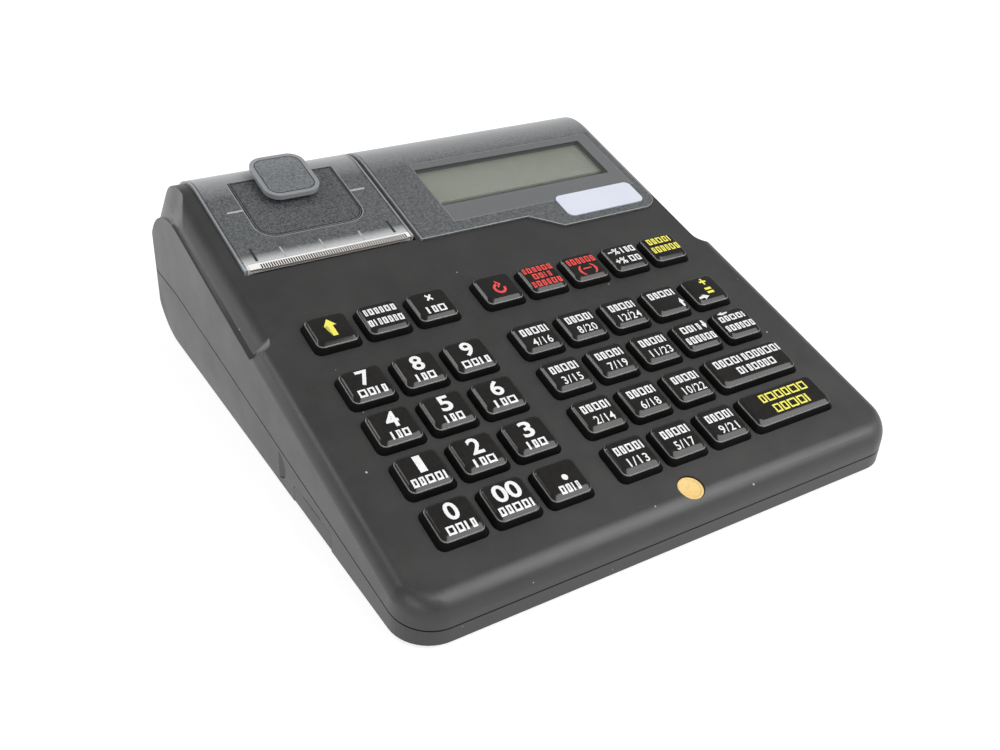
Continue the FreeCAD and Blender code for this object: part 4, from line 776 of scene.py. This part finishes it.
# --- Label plate and seal ---------------------------------------------------------------
# A white enamelled plate on the window's nose, left bare, and a plain yellow wax seal in a
# well at the front left.
plate_finish = moulded("white enamel", (0.64, 0.67, 0.76), (0.665, 0.695, 0.785), 0.22, grain=900,
                       depth=0.004, Coat_Weight=0.5)
plate = node_copy("label_plate")
eased(piece("label_plate_dressed", finish_mesh(plate, "label_plate", 30), "casing",
            [plate_finish], ["label_plate"]), 0.15 * mm)
seal_finish = moulded("yellow seal wax", (0.74, 0.50, 0.17), (0.84, 0.61, 0.25), 0.4, grain=1100, depth=0.05,
                      patches=260)
seal_bm = node_copy("seal_plug")
seal_top = max(seal_bm.faces, key=lambda f: (to_deck @ f.calc_center_median()).z)
bmesh.ops.inset_region(seal_bm, faces=[seal_top], thickness=0.75 * mm, depth=0)
bmesh.ops.inset_region(seal_bm, faces=[seal_top], thickness=0.3 * mm, depth=-0.35 * mm)
eased(piece("seal_dressed", finish_mesh(seal_bm, "seal_plug", 30), "casing", [seal_finish],
            ["seal_plug"]), 0.2 * mm)


# --- Printer cover ----------------------------------------------------------------------
# A hinged lid of smoked, frosted polycarbonate, with a clear release lever in its middle
# and a stamped steel tear bar let into its front edge.
# The cover is painted lighter at its front as a reflection, and at its rear as a highlight along the
# rounding.
cover_finish = smoked("smoked cover", (0.106, 0.112, 0.116), 0.33, 0.93, speckle=0.8, depth=0.06,
                      highlight_bands=((153.5, 147.5, (0.72, 0.73, 0.73)), (186, 204, (0.42, 0.43, 0.435))))
edge_highlight, edge_shade = (0.32, 0.33, 0.35), (0.012, 0.014, 0.022)
cover_outline = {"left": -85.4, "right": -19.7, "front": 100, "rear": 900}
lever_outline = {"left": -72.6, "right": -31.4, "front": 160.9, "rear": 230, "corner": 7, "cut": 194.0}
tab_outline = {"left": -63.6, "right": -41.8, "front": 176.8, "rear": 201.4, "corner": 6}
# Painted shade and painted highlight lines along the cover's edges and round the lever.
painted_edge_line(cover_finish, edge_shade, -1.25, -0.75, **cover_outline)
painted_edge_line(cover_finish, edge_highlight, -0.75, 0.3, **cover_outline)
painted_edge_line(cover_finish, edge_highlight, 0.55, 0.95, **lever_outline)
painted_edge_line(cover_finish, edge_shade, 0.0, 0.55, **lever_outline)
# The cover's front faces are brown, like the bar's forward faces.
front_lip = smoked("cover front lip", (0.13, 0.085, 0.05), 0.3, 1.0, speckle=0.3, depth=0.0)
cover_front, tab_foot, cut_facing = 145.35, 1.2, -0.3
cover_bm = node_copy("printer_cover")
for face in cover_bm.faces:
    if (to_deck @ face.calc_center_median()).y < cover_front * mm:
        face.material_index = 2
cover = piece("cover_moulding", finish_mesh(cover_bm, "cover", 25), "cover",
              [cover_finish, polished, front_lip], ["printer_cover"])
# The bevel's faces take the polished edge, a painted highlight.
eased(cover, 0.4 * mm).modifiers[0].material = 1

# On the cover: three paper guides and a bar over each of the lever's pins, pale with painted
# sheen, and two thin dark bars of painted shade that stand for slots.
guide_x, slot_x, pin_bars = (-68.9, -53.8, -38.3), (-79.3, -25.6), ((-79.5, -73.2), (-30.6, -24.6))
guides = bmesh.new()
for x in guide_x:
    join(guides, moulded_block((x - 0.35, 149.0, 0.8), (x + 0.35, 154.6, 1.0), corner=0.2, edge=0.08,
                               corner_steps=2))
for x0, x1 in pin_bars:
    join(guides, moulded_block((x0, 177.1, 0.8), (x1, 178.1, 1.05), corner=0.4, edge=0.15, corner_steps=3))
on_deck(guides)
guide_sheen = smoked("cover guide, painted sheen", (0.44, 0.45, 0.46), 0.2, 0.9, speckle=0.1, depth=0.0)
piece("cover_guides", finish_mesh(guides, "cover_guides"), "cover", [guide_sheen])
slots = bmesh.new()
for x in slot_x:
    join(slots, moulded_block((x - 0.5, 149.6, 0.75), (x + 0.5, 156.8, 0.93), corner=0.2, corner_steps=2))
on_deck(slots)
# Painted shade that stands for the slots.
slot_shade = moulded("painted slot shade", (0.014, 0.014, 0.015), (0.024, 0.024, 0.026), 0.6)
piece("cover_slots", finish_mesh(slots, "cover_slots"), "cover", [slot_shade])

lever_finish = smoked("clear lever", (0.094, 0.099, 0.103), 0.2, 0.9, speckle=0.8, depth=0.03)
# A line of painted shade along the lever's edge.
painted_edge_line(lever_finish, edge_shade, -0.75, 0.5, **lever_outline)
# The tab wears a lighter copy of the lever's clear plastic, painted light, with a painted highlight along its
# edge and a line of painted shade inside that.
tab_lit_finish = smoked("clear tab, painted lighter", (0.18, 0.19, 0.197), 0.16, 0.85, speckle=0.5, depth=0.02)
painted_edge_line(tab_lit_finish, (0.33, 0.34, 0.355), -1.6, 1.0, **tab_outline)
painted_edge_line(tab_lit_finish, edge_shade, -2.1, -1.6, **tab_outline)
lever_bm = node_copy("release_lever")
for face in lever_bm.faces:
    if (to_deck @ face.calc_center_median()).z > tab_foot * mm:
        face.material_index = 2
lever = piece("lever_moulding", finish_mesh(lever_bm, "lever", 25), "lever",
              [lever_finish, polished, tab_lit_finish], ["release_lever"])
# The bevel's faces take the polished edge, a painted highlight.
eased(lever, 0.55 * mm).modifiers[0].material = 1

# The bar is nearly white: its own bright steel and a painted reflection of the white room.
bar_steel_and_reflection = moulded("stamped steel, painted reflection", (0.84, 0.83, 0.81), (0.96, 0.95, 0.94), 0.45, grain=3500, depth=0.004,
                     Metallic=0.2)
# The bar's faces that face forward are dark brown, like the cover's front faces below the teeth.
cut_finish = moulded("brown cut edge", (0.16, 0.085, 0.035), (0.26, 0.15, 0.07), 0.4, grain=3000, depth=0.004)
bar_bm = node_copy("tear_bar")
for face in bar_bm.faces:
    if (to_deck.to_3x3() @ face.normal).y < cut_facing:
        face.material_index = 1
piece("tear_bar_dressed", finish_mesh(bar_bm, "tear_bar", 25), "cover", [bar_steel_and_reflection, cut_finish],
      ["tear_bar"])

# Thin dark bars of painted shade that stand for the fine grooves stamped behind the teeth.
comb = bmesh.new()
groove_count, bar_left, bar_width = 61, -79.2, 57.0
for i in range(groove_count):
    x = bar_left + (i + 0.5) * bar_width / groove_count
    join(comb, moulded_block((x - 0.25, 145.6, 0.78), (x + 0.25, 147.9, 0.86)))
on_deck(comb)
groove_shade = moulded("painted groove shade", (0.012, 0.011, 0.010), (0.022, 0.020, 0.018), 0.7, grain=3000,
                        depth=0.004)
piece("tear_bar_comb", finish_mesh(comb, "tear_bar_comb"), "cover", [groove_shade])
